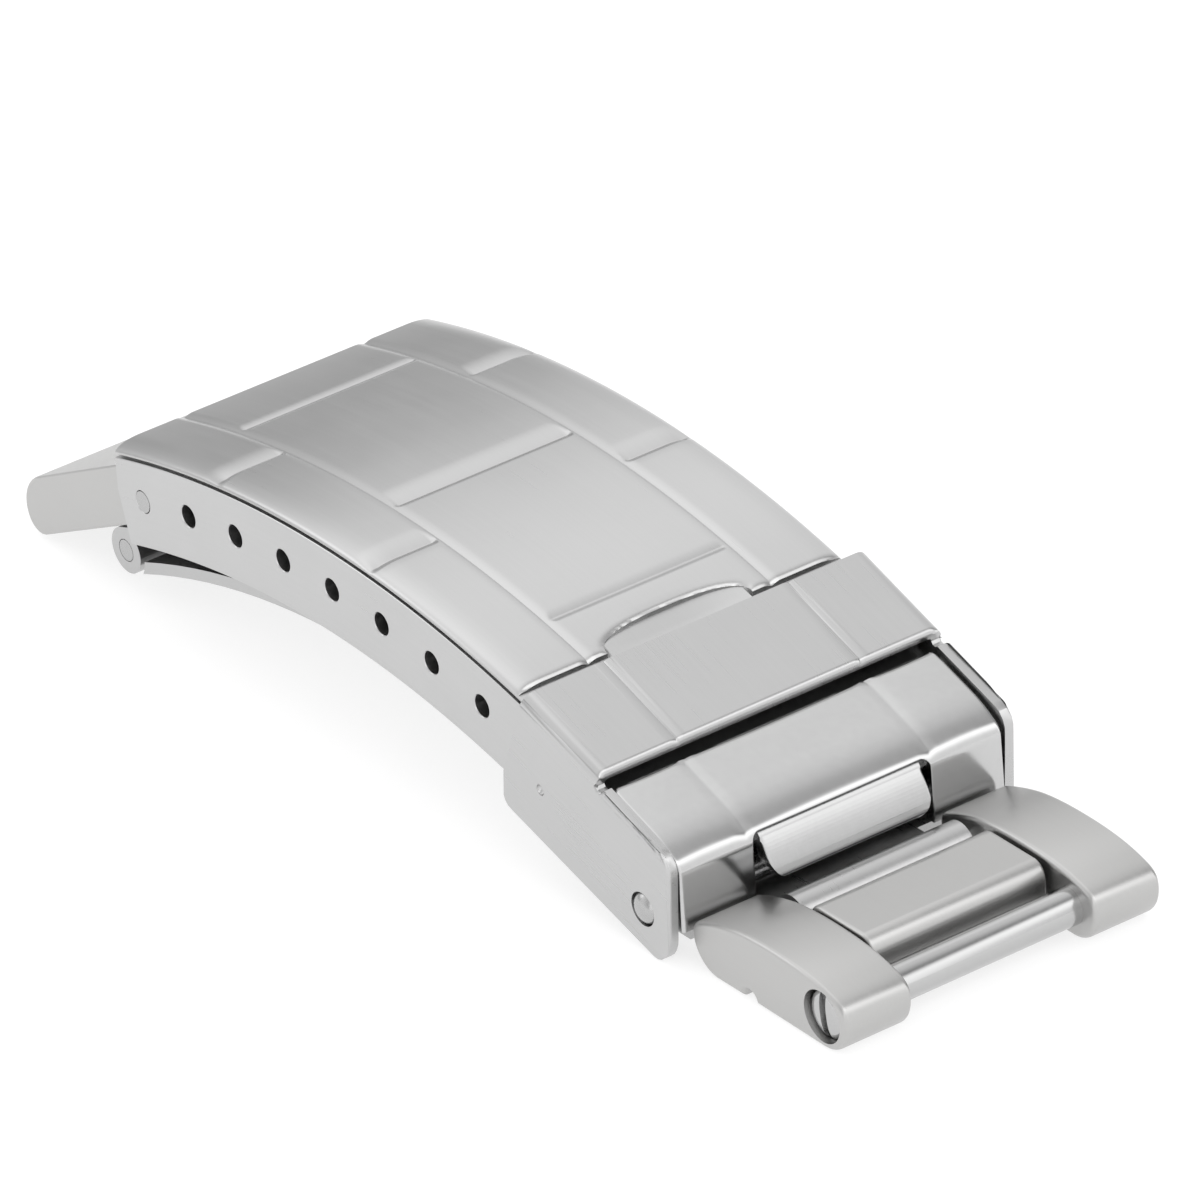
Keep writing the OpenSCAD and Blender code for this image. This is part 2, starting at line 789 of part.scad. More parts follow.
module centre_link() {
    half = gap_half - centre_side_gap;
    foot = link_middle_z - link_round + 0.2;
    color("silver") seat() difference() {
        across(-half, half) polygon([
            [centre_from_x, foot + 0.3],
            [centre_from_x, foot + centre_height - 0.45],
            [centre_from_x + 0.45, foot + centre_height],
            [centre_to_x - 0.45, foot + centre_height],
            [centre_to_x, foot + centre_height - 0.45],
            [centre_to_x, foot + 0.3],
            [centre_to_x - 0.3, foot],
            [centre_from_x + 0.3, foot]
        ]);
        for (side = [-1, 1])
            cross_pin([centre_pin_x, link_middle_z], pin_radius,
                min(side * (half - 1.6), side * clear),
                max(side * (half - 1.6), side * clear));
    }
}

module centre_pin(side) {
    from = gap_half - centre_side_gap - 1.6;
    to = gap_half + 1.6;
    color("gainsboro") seat()
        cross_pin([centre_pin_x, link_middle_z], pin_radius,
            min(side * from, side * to), max(side * from, side * to));
}

module centre_pin_near() { centre_pin(-1); }

module centre_pin_far() { centre_pin(1); }

module link_pin() {
    color("gainsboro") seat()
        cross_pin(link_pin_at, pin_radius, 1.2 - link_half, link_half - 1.2);
}

module screw_bar() {
    slot_width = 0.35;
    slot_depth = 0.35;
    head_depth = 0.8;
    color("gainsboro") seat() difference() {
        union() {
            cross_pin(screw_at, screw_diameter / 2,
                head_depth - link_half - 0.1, link_half - 0.6);
            cross_pin(screw_at, screw_head_diameter / 2,
                0.05 - link_half, head_depth - link_half);
        }
        translate([screw_at.x, -link_half, screw_at.y]) rotate([0, 20, 0])
            cube([slot_width, 2 * slot_depth, 4], center = true);
    }
}

inner_blade();
catch_frame();
catch_panel();
frame_rivet_near();
frame_rivet_far();
lock_pin();
flip_lock();
fold_pin();
outer_blade();
cover_pin();
cover_shell();
spring_bar_tube();
spring_bar_spring();
spring_bar_tip_near();
spring_bar_tip_far();
band_link();
side_link_near();
side_link_far();
centre_link();
link_pin();
screw_bar();
centre_pin_near();
centre_pin_far();
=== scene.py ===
"""Looks of a folding watch clasp with a flip lock, shut.

Sizes are in millimetres, and points are [x, z] from the lock pin, which is how
the clasp is laid out. place() turns such a point into metres in the shared frame.
"""

import logging
import math
from dataclasses import dataclass
from enum import Enum
from typing import Callable, Sequence

import bpy
import numpy as np
from mathutils import Matrix, Vector


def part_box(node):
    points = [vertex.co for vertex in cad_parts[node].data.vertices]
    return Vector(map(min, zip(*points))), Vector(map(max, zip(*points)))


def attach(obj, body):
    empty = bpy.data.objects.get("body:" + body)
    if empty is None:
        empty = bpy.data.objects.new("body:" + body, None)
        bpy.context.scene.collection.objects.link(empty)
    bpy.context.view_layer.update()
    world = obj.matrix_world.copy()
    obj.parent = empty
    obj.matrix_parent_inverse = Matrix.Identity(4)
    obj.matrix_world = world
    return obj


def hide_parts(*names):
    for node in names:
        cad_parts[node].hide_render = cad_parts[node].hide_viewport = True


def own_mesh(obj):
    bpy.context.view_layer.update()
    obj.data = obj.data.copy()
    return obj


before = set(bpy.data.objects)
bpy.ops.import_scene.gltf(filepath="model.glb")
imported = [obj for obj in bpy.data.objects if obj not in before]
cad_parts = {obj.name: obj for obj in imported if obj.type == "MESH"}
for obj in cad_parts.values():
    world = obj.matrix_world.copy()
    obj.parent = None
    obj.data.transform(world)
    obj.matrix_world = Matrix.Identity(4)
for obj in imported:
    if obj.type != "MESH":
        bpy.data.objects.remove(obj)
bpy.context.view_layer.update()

log = logging.getLogger("clasp")
Point = tuple[float, float]
Piece = bpy.types.Object
Socket = bpy.types.NodeSocket

MM = 0.001
MERGE = 1e-7  # doubles closer than this are merged, in metres
CLOSE = 0.01  # places closer than this count as one
PAST = 10.0  # well outside either side of the clasp
SIDES = ((-1, "near"), (1, "far"))
ACROSS = (math.pi / 2, 0.0, 0.0)  # turns an upright primitive to lie across the strap
LOCK_PIN: Point = (17.17, 2.1)
LOCK_BORE = 0.78
SPRING_BAR: Point = (-36.2, 4.168)
COVER_CENTRE: Point = (-22.9256, -51.5412)
SLOPE = math.radians(18.5)
ROW = 4.8  # from the middle to the lines between the rows of tiles


def place(x: float, y: float, z: float) -> Vector:
    """Point in the shared frame, in metres.

    Args:
        x: Distance along the strap from the lock pin.
        y: Distance across the strap from its middle.
        z: Height over the lock pin.

    Returns:
        The same point in metres.
    """
    return Vector((x + LOCK_PIN[0], y, z + LOCK_PIN[1])) * MM


def on_slope(s: float, n: float) -> Point:
    """Point at distance s down the catch slope and height n square to it."""
    cos, sin = math.cos(SLOPE), math.sin(SLOPE)
    return (s * cos + n * sin, n * cos - s * sin)


def on_slope_of(point: Vector) -> Point:
    """Distance down the catch slope and height square to it of a point."""
    cos, sin = math.cos(SLOPE), math.sin(SLOPE)
    return (point.x * cos - point.z * sin, point.z * cos + point.x * sin)


def slope_z(x: float, n: float) -> float:
    """Height of the catch slope's level n at distance x."""
    return (n - x * math.sin(SLOPE)) / math.cos(SLOPE)


def spaced(start: float, end: float, count: int) -> list[float]:
    """Evenly spaced values, both ends included."""
    return np.linspace(start, end, count).tolist()


def span(side: int, inner: float, outer: float) -> Point:
    """Places of two distances from the middle on one side, the lower first."""
    low, high = sorted((side * inner, side * outer))
    return (low, high)


def same(a: Vector, b: Vector, axes: str) -> bool:
    """Whether two points have the same place along each named axis."""
    return all(abs(getattr(a, axis) - getattr(b, axis)) < CLOSE for axis in axes)


def arc(centre: Point, radius: float, start: float, end: float, steps: int = 12) -> list[Point]:
    """Points along an arc.

    Args:
        centre: Middle of the arc.
        radius: Its radius.
        start: First angle in degrees, from +X towards +Z.
        end: Last angle in degrees.
        steps: Number of chords.

    Returns:
        The points, both ends included.
    """
    angles = [math.radians(start + (end - start) * i / steps) for i in range(steps + 1)]
    return [(centre[0] + radius * math.cos(a), centre[1] + radius * math.sin(a)) for a in angles]


class Join(Enum):
    """How one solid works on another."""

    CUT = "DIFFERENCE"
    KEEP = "INTERSECT"
    ADD = "UNION"


class Bench:
    """The modelling operators, each used on one piece at a time."""

    @staticmethod
    def clear() -> None:
        """Leaves edit mode and deselects everything."""
        if bpy.context.object and bpy.context.object.mode != "OBJECT":
            bpy.ops.object.mode_set(mode="OBJECT")
        bpy.ops.object.select_all(action="DESELECT")

    @staticmethod
    def hold(piece: Piece) -> None:
        """Selects one piece alone and makes it active."""
        Bench.clear()
        piece.select_set(True)
        bpy.context.view_layer.objects.active = piece

    @staticmethod
    def begin(name: str, primitive: Callable[..., set], **values: object) -> Piece:
        """Adds a primitive by itself, with its place in its mesh.

        Args:
            name: Name of the piece.
            primitive: The operator that adds it.
            values: The operator's settings.

        Returns:
            The piece.
        """
        Bench.clear()
        primitive(**values)
        piece = bpy.context.active_object
        piece.name = piece.data.name = name
        bpy.ops.object.transform_apply(location=True, rotation=True, scale=True)
        return piece

    @staticmethod
    def edit(piece: Piece, kind: str = "VERT", everything: bool = True) -> None:
        """Opens a piece in edit mode.

        Args:
            piece: The piece.
            kind: VERT, EDGE or FACE selection.
            everything: Whether all of it starts selected.
        """
        Bench.hold(piece)
        bpy.ops.object.mode_set(mode="EDIT")
        bpy.ops.mesh.select_mode(type=kind)
        bpy.ops.mesh.select_all(action="SELECT" if everything else "DESELECT")

    @staticmethod
    def pick(piece: Piece, kind: str, test: Callable[..., bool]) -> int:
        """Opens a piece in edit mode with what passes a test selected.

        Args:
            piece: The piece.
            kind: EDGE or FACE.
            test: Takes one edge or face of the mesh.

        Returns:
            How many were selected.
        """
        Bench.edit(piece, kind, everything=False)
        bpy.ops.object.mode_set(mode="OBJECT")
        found = 0
        for item in piece.data.edges if kind == "EDGE" else piece.data.polygons:
            item.select = test(item)
            found += item.select
        bpy.ops.object.mode_set(mode="EDIT")
        return found

    @staticmethod
    def extrude(along: Sequence[float]) -> None:
        """Extrudes the selected face by a step in metres."""
        bpy.ops.mesh.extrude_region_move(TRANSFORM_OT_translate={"value": along})

    @staticmethod
    def outward(piece: Piece) -> None:
        """Merges doubles and turns every face outwards."""
        Bench.edit(piece)
        bpy.ops.mesh.remove_doubles(threshold=MERGE)
        bpy.ops.mesh.normals_make_consistent(inside=False)
        bpy.ops.object.mode_set(mode="OBJECT")

    @staticmethod
    def swept(name: str, corners: Sequence[Vector], along: Sequence[float]) -> Piece:
        """Solid made by extruding one flat face.

        Args:
            name: Name of the piece.
            corners: Corners of the face in order, in metres.
            along: Step from it to the other end, in metres.

        Returns:
            The piece.
        """
        piece = Bench.begin(name, bpy.ops.mesh.primitive_circle_add, vertices=len(corners),
                            radius=MM, fill_type="NGON")
        for vertex, corner in zip(piece.data.vertices, corners):
            vertex.co = corner
        Bench.edit(piece, "FACE")
        Bench.extrude(along)
        Bench.outward(piece)
        return piece

    @staticmethod
    def prism(name: str, outline: Sequence[Point], y0: float, y1: float) -> Piece:
        """Solid with one outline in x and z, from y0 to y1 across the strap."""
        corners = [place(x, y0, z) for x, z in outline]
        return Bench.swept(name, corners, (0.0, (y1 - y0) * MM, 0.0))

    @staticmethod
    def block(name: str, low: Sequence[float], high: Sequence[float]) -> Piece:
        """Cube primitive stretched between two corners.

        Args:
            name: Name of the piece.
            low: Lowest corner.
            high: Highest corner.

        Returns:
            The piece.
        """
        a, b = place(*low), place(*high)
        return Bench.begin(name, bpy.ops.mesh.primitive_cube_add, size=1.0,
                           location=(a + b) / 2, scale=b - a)

    @staticmethod
    def rod(name: str, at: Point, radius: float, y0: float = -PAST, y1: float = PAST) -> Piece:
        """Cylinder primitive laid across the strap.

        Args:
            name: Name of the piece.
            at: Axis in x and z.
            radius: Its radius.
            y0: Near end.
            y1: Far end.

        Returns:
            The piece.
        """
        return Bench.begin(
            name, bpy.ops.mesh.primitive_cylinder_add, vertices=64, radius=radius * MM,
            depth=(y1 - y0) * MM, location=place(at[0], (y0 + y1) / 2, at[1]), rotation=ACROSS)

    @staticmethod
    def turned(name: str, at: Point, profile: Sequence[Point], sides: int = 64) -> Piece:
        """Turned piece across the strap, drawn ring by ring.

        Args:
            name: Name of the piece.
            at: Axis in x and z.
            profile: Places along y with the radius there.
            sides: Vertices in a ring.

        Returns:
            The piece.
        """
        y, radius = profile[0]
        piece = Bench.begin(
            name, bpy.ops.mesh.primitive_circle_add, vertices=sides, radius=radius * MM,
            fill_type="NGON", location=place(at[0], y, at[1]), rotation=ACROSS)
        Bench.edit(piece, "FACE")
        for next_y, next_radius in profile[1:]:
            Bench.extrude((0.0, (next_y - y) * MM, 0.0))
            grow = next_radius / radius
            bpy.ops.transform.resize(
                value=(grow, 1.0, grow), center_override=place(at[0], next_y, at[1]))
            y, radius = next_y, next_radius
        Bench.outward(piece)
        return piece

    @staticmethod
    def formed(name: str, columns: Sequence[float], rows: Sequence[float],
               form: Callable[[float, float], Vector]) -> Piece:
        """Closed solid pressed into shape: a grid whose points are put on a form.

        Args:
            name: Name of the piece.
            columns: First parameter of each column of points.
            rows: Second parameter of each row of points, the last meeting the first.
            form: Gives the place of a point, in metres, from both parameters.

        Returns:
            The piece, with its two ends filled.
        """
        last_column, last_row = len(columns) - 1, len(rows) - 1
        piece = Bench.begin(name, bpy.ops.mesh.primitive_grid_add, x_subdivisions=last_column,
                            y_subdivisions=last_row, size=2.0)
        for vertex in piece.data.vertices:
            i = round((vertex.co.x + 1.0) / 2.0 * last_column)
            j = round((vertex.co.y + 1.0) / 2.0 * last_row)
            vertex.co = form(columns[i], rows[j])
        Bench.fill(piece)
        return piece

    @staticmethod
    def fill(piece: Piece) -> None:
        """Merges doubles, closes the open ends and turns every face outwards."""
        Bench.edit(piece)
        bpy.ops.mesh.remove_doubles(threshold=MERGE)
        bpy.ops.mesh.select_all(action="SELECT")
        bpy.ops.mesh.fill_holes(sides=0)
        Bench.outward(piece)

    @staticmethod
    def apply(piece: Piece, kind: str, **values: object) -> None:
        """Adds a modifier to a piece and applies it.

        Args:
            piece: The piece.
            kind: Type of the modifier.
            values: Its settings.
        """
        Bench.hold(piece)
        modifier = piece.modifiers.new(kind.lower(), kind)
        for key, value in values.items():
            setattr(modifier, key, value)
        bpy.ops.object.modifier_apply(modifier=modifier.name)

    @staticmethod
    def join(piece: Piece, other: Piece, how: Join = Join.CUT) -> None:
        """Works another solid on a piece and removes that solid."""
        Bench.apply(piece, "BOOLEAN", operation=how.value, object=other, solver="EXACT")
        bpy.data.objects.remove(other)

    @staticmethod
    def soften(piece: Piece, width: float, steps: int, angle: float) -> None:
        """Rounds every edge sharper than an angle in degrees."""
        Bench.apply(piece, "BEVEL", width=width * MM, segments=steps, limit_method="ANGLE",
                    angle_limit=math.radians(angle), use_clamp_overlap=True)

    @staticmethod
    def round_edges(piece: Piece, test: Callable[[Vector, Vector], bool], width: float,
                    steps: int) -> None:
        """Rounds the edges that pass a test.

        Args:
            piece: The piece.
            test: Takes both ends of an edge, in millimetres from the lock pin.
            width: Width of the rounding.
            steps: Number of flats in it.
        """
        origin = Vector((LOCK_PIN[0], 0.0, LOCK_PIN[1]))
        points = [vertex.co / MM - origin for vertex in piece.data.vertices]
        if Bench.pick(piece, "EDGE", lambda edge: test(*(points[i] for i in edge.vertices))):
            bpy.ops.mesh.bevel(
                offset=width * MM, offset_type="OFFSET", segments=steps, affect="EDGES")
        else:
            log.warning("%s: no edge to round", piece.name)
        bpy.ops.object.mode_set(mode="OBJECT")

    @staticmethod
    def smooth(piece: Piece, angle: float = 30.0, flat: float = 1.2) -> None:
        """Shades a piece smooth up to an angle and keeps its flat faces flat.

        Args:
            piece: The piece.
            angle: Sharpest angle that still shades smooth, in degrees.
            flat: Area in square millimetres from which a face counts as flat
                and gets a narrow rim, so that no rounding shades across it.
        """
        rim = 0.012
        Bench.outward(piece)
        Bench.pick(piece, "FACE", lambda face: face.area > flat * MM * MM)
        bpy.ops.mesh.inset(thickness=rim * MM, use_individual=True, use_even_offset=False)
        Bench.shade(piece, angle)

    @staticmethod
    def shade(piece: Piece, angle: float) -> None:
        """Shades a piece smooth up to an angle in degrees."""
        Bench.hold(piece)
        bpy.ops.object.shade_smooth_by_angle(angle=math.radians(angle))


class Wiring:
    """Adds nodes to a material or world, with their inputs linked or set."""

    def __init__(self, block: bpy.types.ID) -> None:
        """Turns on the nodes of a material or world."""
        block.use_nodes = True
        self.tree = block.node_tree

    def feed(self, node: bpy.types.Node, inputs: dict) -> None:
        """Links the inputs that are given a socket and sets the others.

        Args:
            node: The node.
            inputs: A socket or a value for each input, by name or number.
        """
        for key, value in inputs.items():
            if isinstance(value, Socket):
                self.tree.links.new(value, node.inputs[key])
            else:
                node.inputs[key].default_value = value

    def add(self, kind: str, inputs: dict, out: str = "", **settings: object) -> Socket:
        """Adds a node.

        Args:
            kind: Its type, as it stands after ShaderNode.
            inputs: A socket or a value for each input, by name or number.
            out: Name of the wanted output, or nothing for the first.
            settings: Its other properties.

        Returns:
            The wanted output.
        """
        node = self.tree.nodes.new(f"ShaderNode{kind}")
        for key, value in settings.items():
            setattr(node, key, value)
        self.feed(node, inputs)
        return node.outputs[out or 0]

    def math(self, how: str, *terms: object, clamp: bool = False) -> Socket:
        """One step of arithmetic on sockets and numbers."""
        return self.add("Math", dict(enumerate(terms)), operation=how, use_clamp=clamp)

    def between(self, noise: Socket, low: float, high: float) -> Socket:
        """Maps the middle part of a noise to a range."""
        return self.add("MapRange", {
            "Value": noise, "From Min": 0.3, "From Max": 0.7, "To Min": low, "To Max": high})

    def parts(self, vector: Socket) -> list[Socket]:
        """The three parts of a vector."""
        return list(self.add("SeparateXYZ", {"Vector": vector}).node.outputs)


class Grain(Enum):
    """Which way the brushing of a finish runs."""

    ALONG = "level"
    SLOPE = "slope"
    ROUND = "round"
    NONE = "none"


@dataclass(frozen=True)
class Finish:
    """A steel finish: its colour, gloss and brushing."""

    name: str
    colour: float
    rough: float
    spread: float
    grain: Grain
    bump: float
    tint: float = 0.0
    across: float = 6500.0
    centre: Point = (0.0, 0.0)
    stretch: float = 45.0
    smudge_scale: float = 260.0
    smudge_share: float = 0.6
    uneven: float = 0.015
    groove: float = 0.004

    def material(self) -> bpy.types.Material:
        """Builds the finish as a node material, or returns it if it is there.

        Returns:
            The material.
        """
        there = bpy.data.materials.get(self.name)
        if there:
            return there
        made = bpy.data.materials.new(self.name)
        wiring = Wiring(made)
        spot = wiring.add("TexCoord", {}, "Object")
        streak = wiring.add("TexNoise", {
            "Vector": self.brushed(wiring, spot), "Scale": 1.0, "Detail": 4.0, "Roughness": 0.6})
        cloud = wiring.add("TexNoise", {"Vector": spot, "Scale": self.smudge_scale, "Detail": 3.0})
        haze = self.spread * self.smudge_share
        dark, light = 1.0 - self.uneven, 1.0 + self.uneven
        bright = wiring.math(
            "MULTIPLY", wiring.between(streak, self.colour * dark, self.colour * light),
            wiring.between(cloud, dark, light))
        wiring.feed(made.node_tree.nodes["Principled BSDF"], {
            "Metallic": 1.0,
            "Roughness": wiring.math(
                "ADD", wiring.between(streak, self.rough - self.spread, self.rough + self.spread),
                wiring.between(cloud, -haze, haze), clamp=True),
            "Base Color": wiring.add("CombineColor", {
                "Red": bright,
                "Green": wiring.math("MULTIPLY", bright, 1.0 - self.tint * 0.3),
                "Blue": wiring.math("MULTIPLY", bright, 1.0 - self.tint)}),
            "Normal": wiring.add("Bump", {
                "Strength": self.bump, "Distance": self.groove * MM, "Height": streak}),
        })
        return made

    def brushed(self, wiring: Wiring, spot: Socket) -> Socket:
        """Coordinates in which the brushing runs along the first axis.

        Args:
            wiring: Where the nodes go.
            spot: Coordinates of the piece.

        Returns:
            The stretched coordinates.
        """
        along = self.across if self.grain is Grain.NONE else self.across / self.stretch
        if self.grain is Grain.ROUND:
            middle = place(self.centre[0], 0.0, self.centre[1])
            x, y, z = wiring.parts(wiring.add("VectorMath", {0: spot, 1: middle},
                                              operation="SUBTRACT"))
            flat = wiring.add("CombineXYZ", {"X": x, "Y": z})
            out = wiring.add("VectorMath", {0: flat}, "Value", operation="LENGTH")
            spot = wiring.add("CombineXYZ", {"X": x, "Y": y, "Z": out})
        elif self.grain is Grain.SLOPE:
            spot = wiring.add("Mapping", {"Vector": spot, "Rotation": (0.0, -SLOPE, 0.0)})
        return wiring.add("VectorMath", {0: spot, 1: (along, self.across, self.across)},
                          operation="MULTIPLY")


SATIN_COVER = Finish("satin_cover", 0.54, 0.30, 0.02, Grain.ROUND, 0.03, centre=COVER_CENTRE)
SATIN_LOCK = Finish("satin_lock", 0.53, 0.29, 0.02, Grain.SLOPE, 0.03)
POLISHED = Finish("bright_panel", 0.56, 0.17, 0.008, Grain.NONE, 0.01, across=2600.0)
STAMPED = Finish("stamped_frame", 0.49, 0.25, 0.01, Grain.NONE, 0.01, across=2600.0)
BLADE = Finish("satin_blade", 0.50, 0.32, 0.04, Grain.ALONG, 0.2)
SATIN_LINK = Finish("satin_link", 0.50, 0.34, 0.035, Grain.ALONG, 0.12, tint=0.015)
PIN = Finish("turned_pin", 0.46, 0.26, 0.04, Grain.NONE, 0.1)
BAR = Finish("ground_bar", 0.50, 0.17, 0.03, Grain.NONE, 0.04)
WIRE = Finish("drawn_wire", 0.45, 0.3, 0.04, Grain.NONE, 0.1)


def dress(piece: Piece, finish: Finish) -> None:
    """Gives a piece its finish."""
    piece.data.materials.clear()
    piece.data.materials.append(finish.material())


def hand_over(piece: Piece, finish: Finish, body: str, node: str) -> None:
    """Finishes a piece, ties it to its body and hides the CAD node that it stands for.

    Args:
        piece: The piece.
        finish: Its finish.
        body: The body that it rides on.
        node: The CAD node that it stands for.
    """
    dress(piece, finish)
    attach(piece, body)
    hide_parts(node)
    log.info("%s: %d faces, for %s", piece.name, len(piece.data.polygons), node)


@dataclass
class Cover:
    """The curved cover with its pressed tiles, nail dish and adjusting holes."""

    radius: float = 59.75
    half: float = 8.5
    sheet: float = 0.6
    depth: float = 4.7
    start_x: float = -38.08
    end_x: float = -7.435
    row_bank: float = 0.45
    row_drop: float = 0.12
    holes: int = 8
    hole_depth: float = 2.48
    hole_pitch: float = 3.56
    hole_radius: float = 0.52
    flare: float = 0.03
    pin: Point = (-6.91, 2.75)
    pin_radius: float = 0.53
    ear: float = 1.45
    # Lean in degrees, width and depth of each joint between two tiles
    centre_joints: tuple = ((-10.6, 0.6, 0.11), (0.35, 1.3, 0.17), (10.8, 0.5, 0.08))
    side_joints: tuple = ((-7.1, 1.2, 0.16), (3.6, 1.3, 0.17))
    joint_rise: float = 0.4
    step_x: float = -8.785
    step_depth: float = 0.33
    step_lip: float = 0.3
    scallop_width: float = 7.6
    scallop_length: float = 1.15
    scallop_power: float = 2.5

    def polar(self, radius: float, lean: float) -> Point:
        """Point at a radius and a lean in radians round the cover's centre."""
        return (COVER_CENTRE[0] + radius * math.sin(lean),
                COVER_CENTRE[1] + radius * math.cos(lean))

    def lean(self, x: float, radius: float) -> float:
        """Lean in radians at which a circle round the cover's centre is at x."""
        return math.asin((x - COVER_CENTRE[0]) / radius)

    def behind_step(self, x: float, y: float) -> float:
        """Distance on the plan from a point back to the scalloped step.

        Args:
            x: Place along the strap.
            y: Place across it.

        Returns:
            The distance, below 0 in front of the step.
        """
        power, half = self.scallop_power, self.scallop_width / 2
        back, side = max(0.0, self.step_x - x) / self.scallop_length, abs(y) / half
        reach = (back ** power + side ** power) ** (1.0 / power)
        if reach < 0.05:
            return -1.0
        steep = math.hypot((back / reach) ** (power - 1.0) / self.scallop_length,
                           (side / reach) ** (power - 1.0) / half)
        return min(self.step_x - x, (reach - 1.0) / steep)

    def scallop_plan(self, steps: int = 90) -> list[Point]:
        """Outline of the scallop on the plan, closed in front of the step.

        Args:
            steps: Number of chords.

        Returns:
            Its corners as x and y.
        """
        power, half = self.scallop_power, self.scallop_width / 2
        points = []
        for i in range(steps + 1):
            turn = math.pi * i / steps
            share = abs(math.cos(turn)) ** (2.0 / power) * (1 if turn < math.pi / 2 else -1)
            points.append((self.step_x - self.scallop_length * math.sin(turn) ** (2.0 / power),
                           half * share))
        return points + [(self.step_x + 0.3, -half), (self.step_x + 0.3, half)]

    def relief(self, along: float, across: float) -> float:
        """Depth of the pressed tiles below the smooth top.

        Args:
            along: Arc length from the crown.
            across: Distance from the middle of the strap.

        Returns:
            The depth in millimetres.
        """
        beside = abs(across) - ROW
        depth = 0.0
        if abs(beside) < self.row_bank:
            depth = self.row_drop * (1.0 - abs(beside) / self.row_bank) ** 1.7
        for lean, width, drop in self.centre_joints if beside < 0 else self.side_joints:
            away = along - math.radians(lean) * self.radius
            share = 0.0
            if -width < away <= 0.0:
                share = (1.0 + away / width) ** 1.8
            elif 0.0 < away < self.joint_rise:
                share = 0.5 + 0.5 * math.cos(math.pi * away / self.joint_rise)
            fade = min(1.0, max(0.0, abs(beside) - 0.05) / 0.3)
            depth = max(depth, drop * share * fade)
        away = self.behind_step(self.polar(self.radius, along / self.radius)[0], across)
        if away < self.step_lip:
            inward = 1.0 - max(0.0, away) / self.step_lip
            depth += 0.5 * self.step_lip * (1.0 - math.sqrt(1.0 - inward ** 2 * 0.96))
        return depth

    def section(self) -> list[Point]:
        """Section all round the sheet.

        Returns:
            Its corners, as distance across and drop below the top.
        """
        near = [(-self.half + 0.10, self.depth), (-self.half + 0.03, self.depth - 0.02),
                (-self.half, self.depth - 0.09)]
        near += [(-self.half, drop) for drop in (4.2, 3.6, 3.0, 2.4, 1.8, 1.2, 0.76)]
        near += [(-self.half, 0.66), (-self.half + 0.03, 0.63), (-self.half + 0.32, 0.60),
                 (-self.half + 0.32, 0.50), (-self.half + 0.05, 0.47)]
        wide, tall = 1.35, 0.42
        near += [(-self.half + 0.02 + wide * (1.0 - math.cos(t)), tall * (1.0 - math.sin(t)))
                 for t in (math.pi / 2 * (i + 0.5) / 12 for i in range(12))]
        flat_from, flat_to = near[-1][0], -near[-1][0]
        y = flat_from + 0.12
        marks = {y}
        while y < flat_to - 0.1:
            beside = abs(abs(y) - ROW)
            y += 0.07 if beside < 0.5 else 0.14 if abs(y) < ROW else 0.3
            marks.add(round(y, 4))
        top = [(y, 0.0) for y in sorted(marks) if flat_from < y < flat_to]
        far = [(-y, drop) for y, drop in reversed(near)]
        inner, bend = self.half - self.sheet, 0.5
        inside = [(inner + 0.08, self.depth), (inner + 0.02, self.depth - 0.03),
                  (inner, self.depth - 0.1), (inner, 3.2), (inner, 2.0)]
        inside += [(inner - bend + bend * math.cos(t), self.sheet + bend - bend * math.sin(t))
                   for t in (math.pi / 2 * i / 6 for i in range(7))]
        inside += [(y, self.sheet) for y in (6.2, 4.5, 2.8, 1.0)]
        inside += [(-y, drop) for y, drop in reversed(inside)]
        return near + top + far + inside + near[:1]

    def stations(self) -> list[float]:
        """Arc lengths of the rings, closer together near the joints and the step.

        Returns:
            The arc lengths from the crown, in order.
        """
        joints = [math.radians(j[0]) * self.radius for j in self.centre_joints + self.side_joints]
        step = self.radius * self.lean(self.step_x, self.radius)
        along, end = -15.9, 22.5
        marks = []
        while along < end:
            marks.append(along)
            near = min(max(0.0, joint - along - 1.3) if along < joint else 9.0
                       for joint in joints + [99.0])
            at_step = step - 1.4 < along < step + 0.1
            along += 0.07 if at_step else 0.11 if near < 0.1 else 0.4
        for joint in joints + [step - 0.02]:
            marks = [m for m in marks if not joint - 0.06 < m < joint + 0.43]
            marks += [joint + off for off in (-0.05, 0.0, 0.06, 0.13, 0.2, 0.27, 0.34, 0.41)]
        return sorted(marks) + [end]

    def build(self) -> None:
        """Presses, cuts and drills the cover."""
        section = self.section()

        def form(station: float, index: float) -> Vector:
            """Place of one point of the section in one ring."""
            across, drop = section[int(index)]
            if drop < 0.41:
                edge = min(1.0, max(0.0, (self.half - abs(across)) / 0.5))
                drop += self.relief(station, across) * edge
            x, z = self.polar(self.radius - drop, station / self.radius)
            return place(x, across, z)

        piece = Bench.formed("cover", self.stations(), range(len(section)), form)
        Bench.join(piece, self.side_view(), Join.KEEP)
        Bench.join(piece, self.end_step())
        Bench.join(piece, self.drills())
        Bench.join(piece, Bench.rod("pin_bore", self.pin, self.pin_radius, -9.5, 9.5))
        Bench.smooth(piece, 32.0)
        hand_over(piece, SATIN_COVER, "cover", "cover_shell")

    def side_view(self) -> Piece:
        """Solid that the cover is trimmed to, with an ear round its pin.

        Returns:
            The solid.
        """
        end = self.lean(self.end_x, self.radius)
        outline = [(self.start_x, -5.0), (self.start_x, 9.0), self.polar(self.radius + 5.0, end),
                   self.polar(self.radius - self.sheet - 0.2, end)]
        outline += arc(self.pin, self.ear, 40.0, -100.0, 16)
        outline += [(self.pin[0] - 1.2, self.pin[1] - 3.0)]
        return Bench.prism("cover_trim", outline, -PAST, PAST)

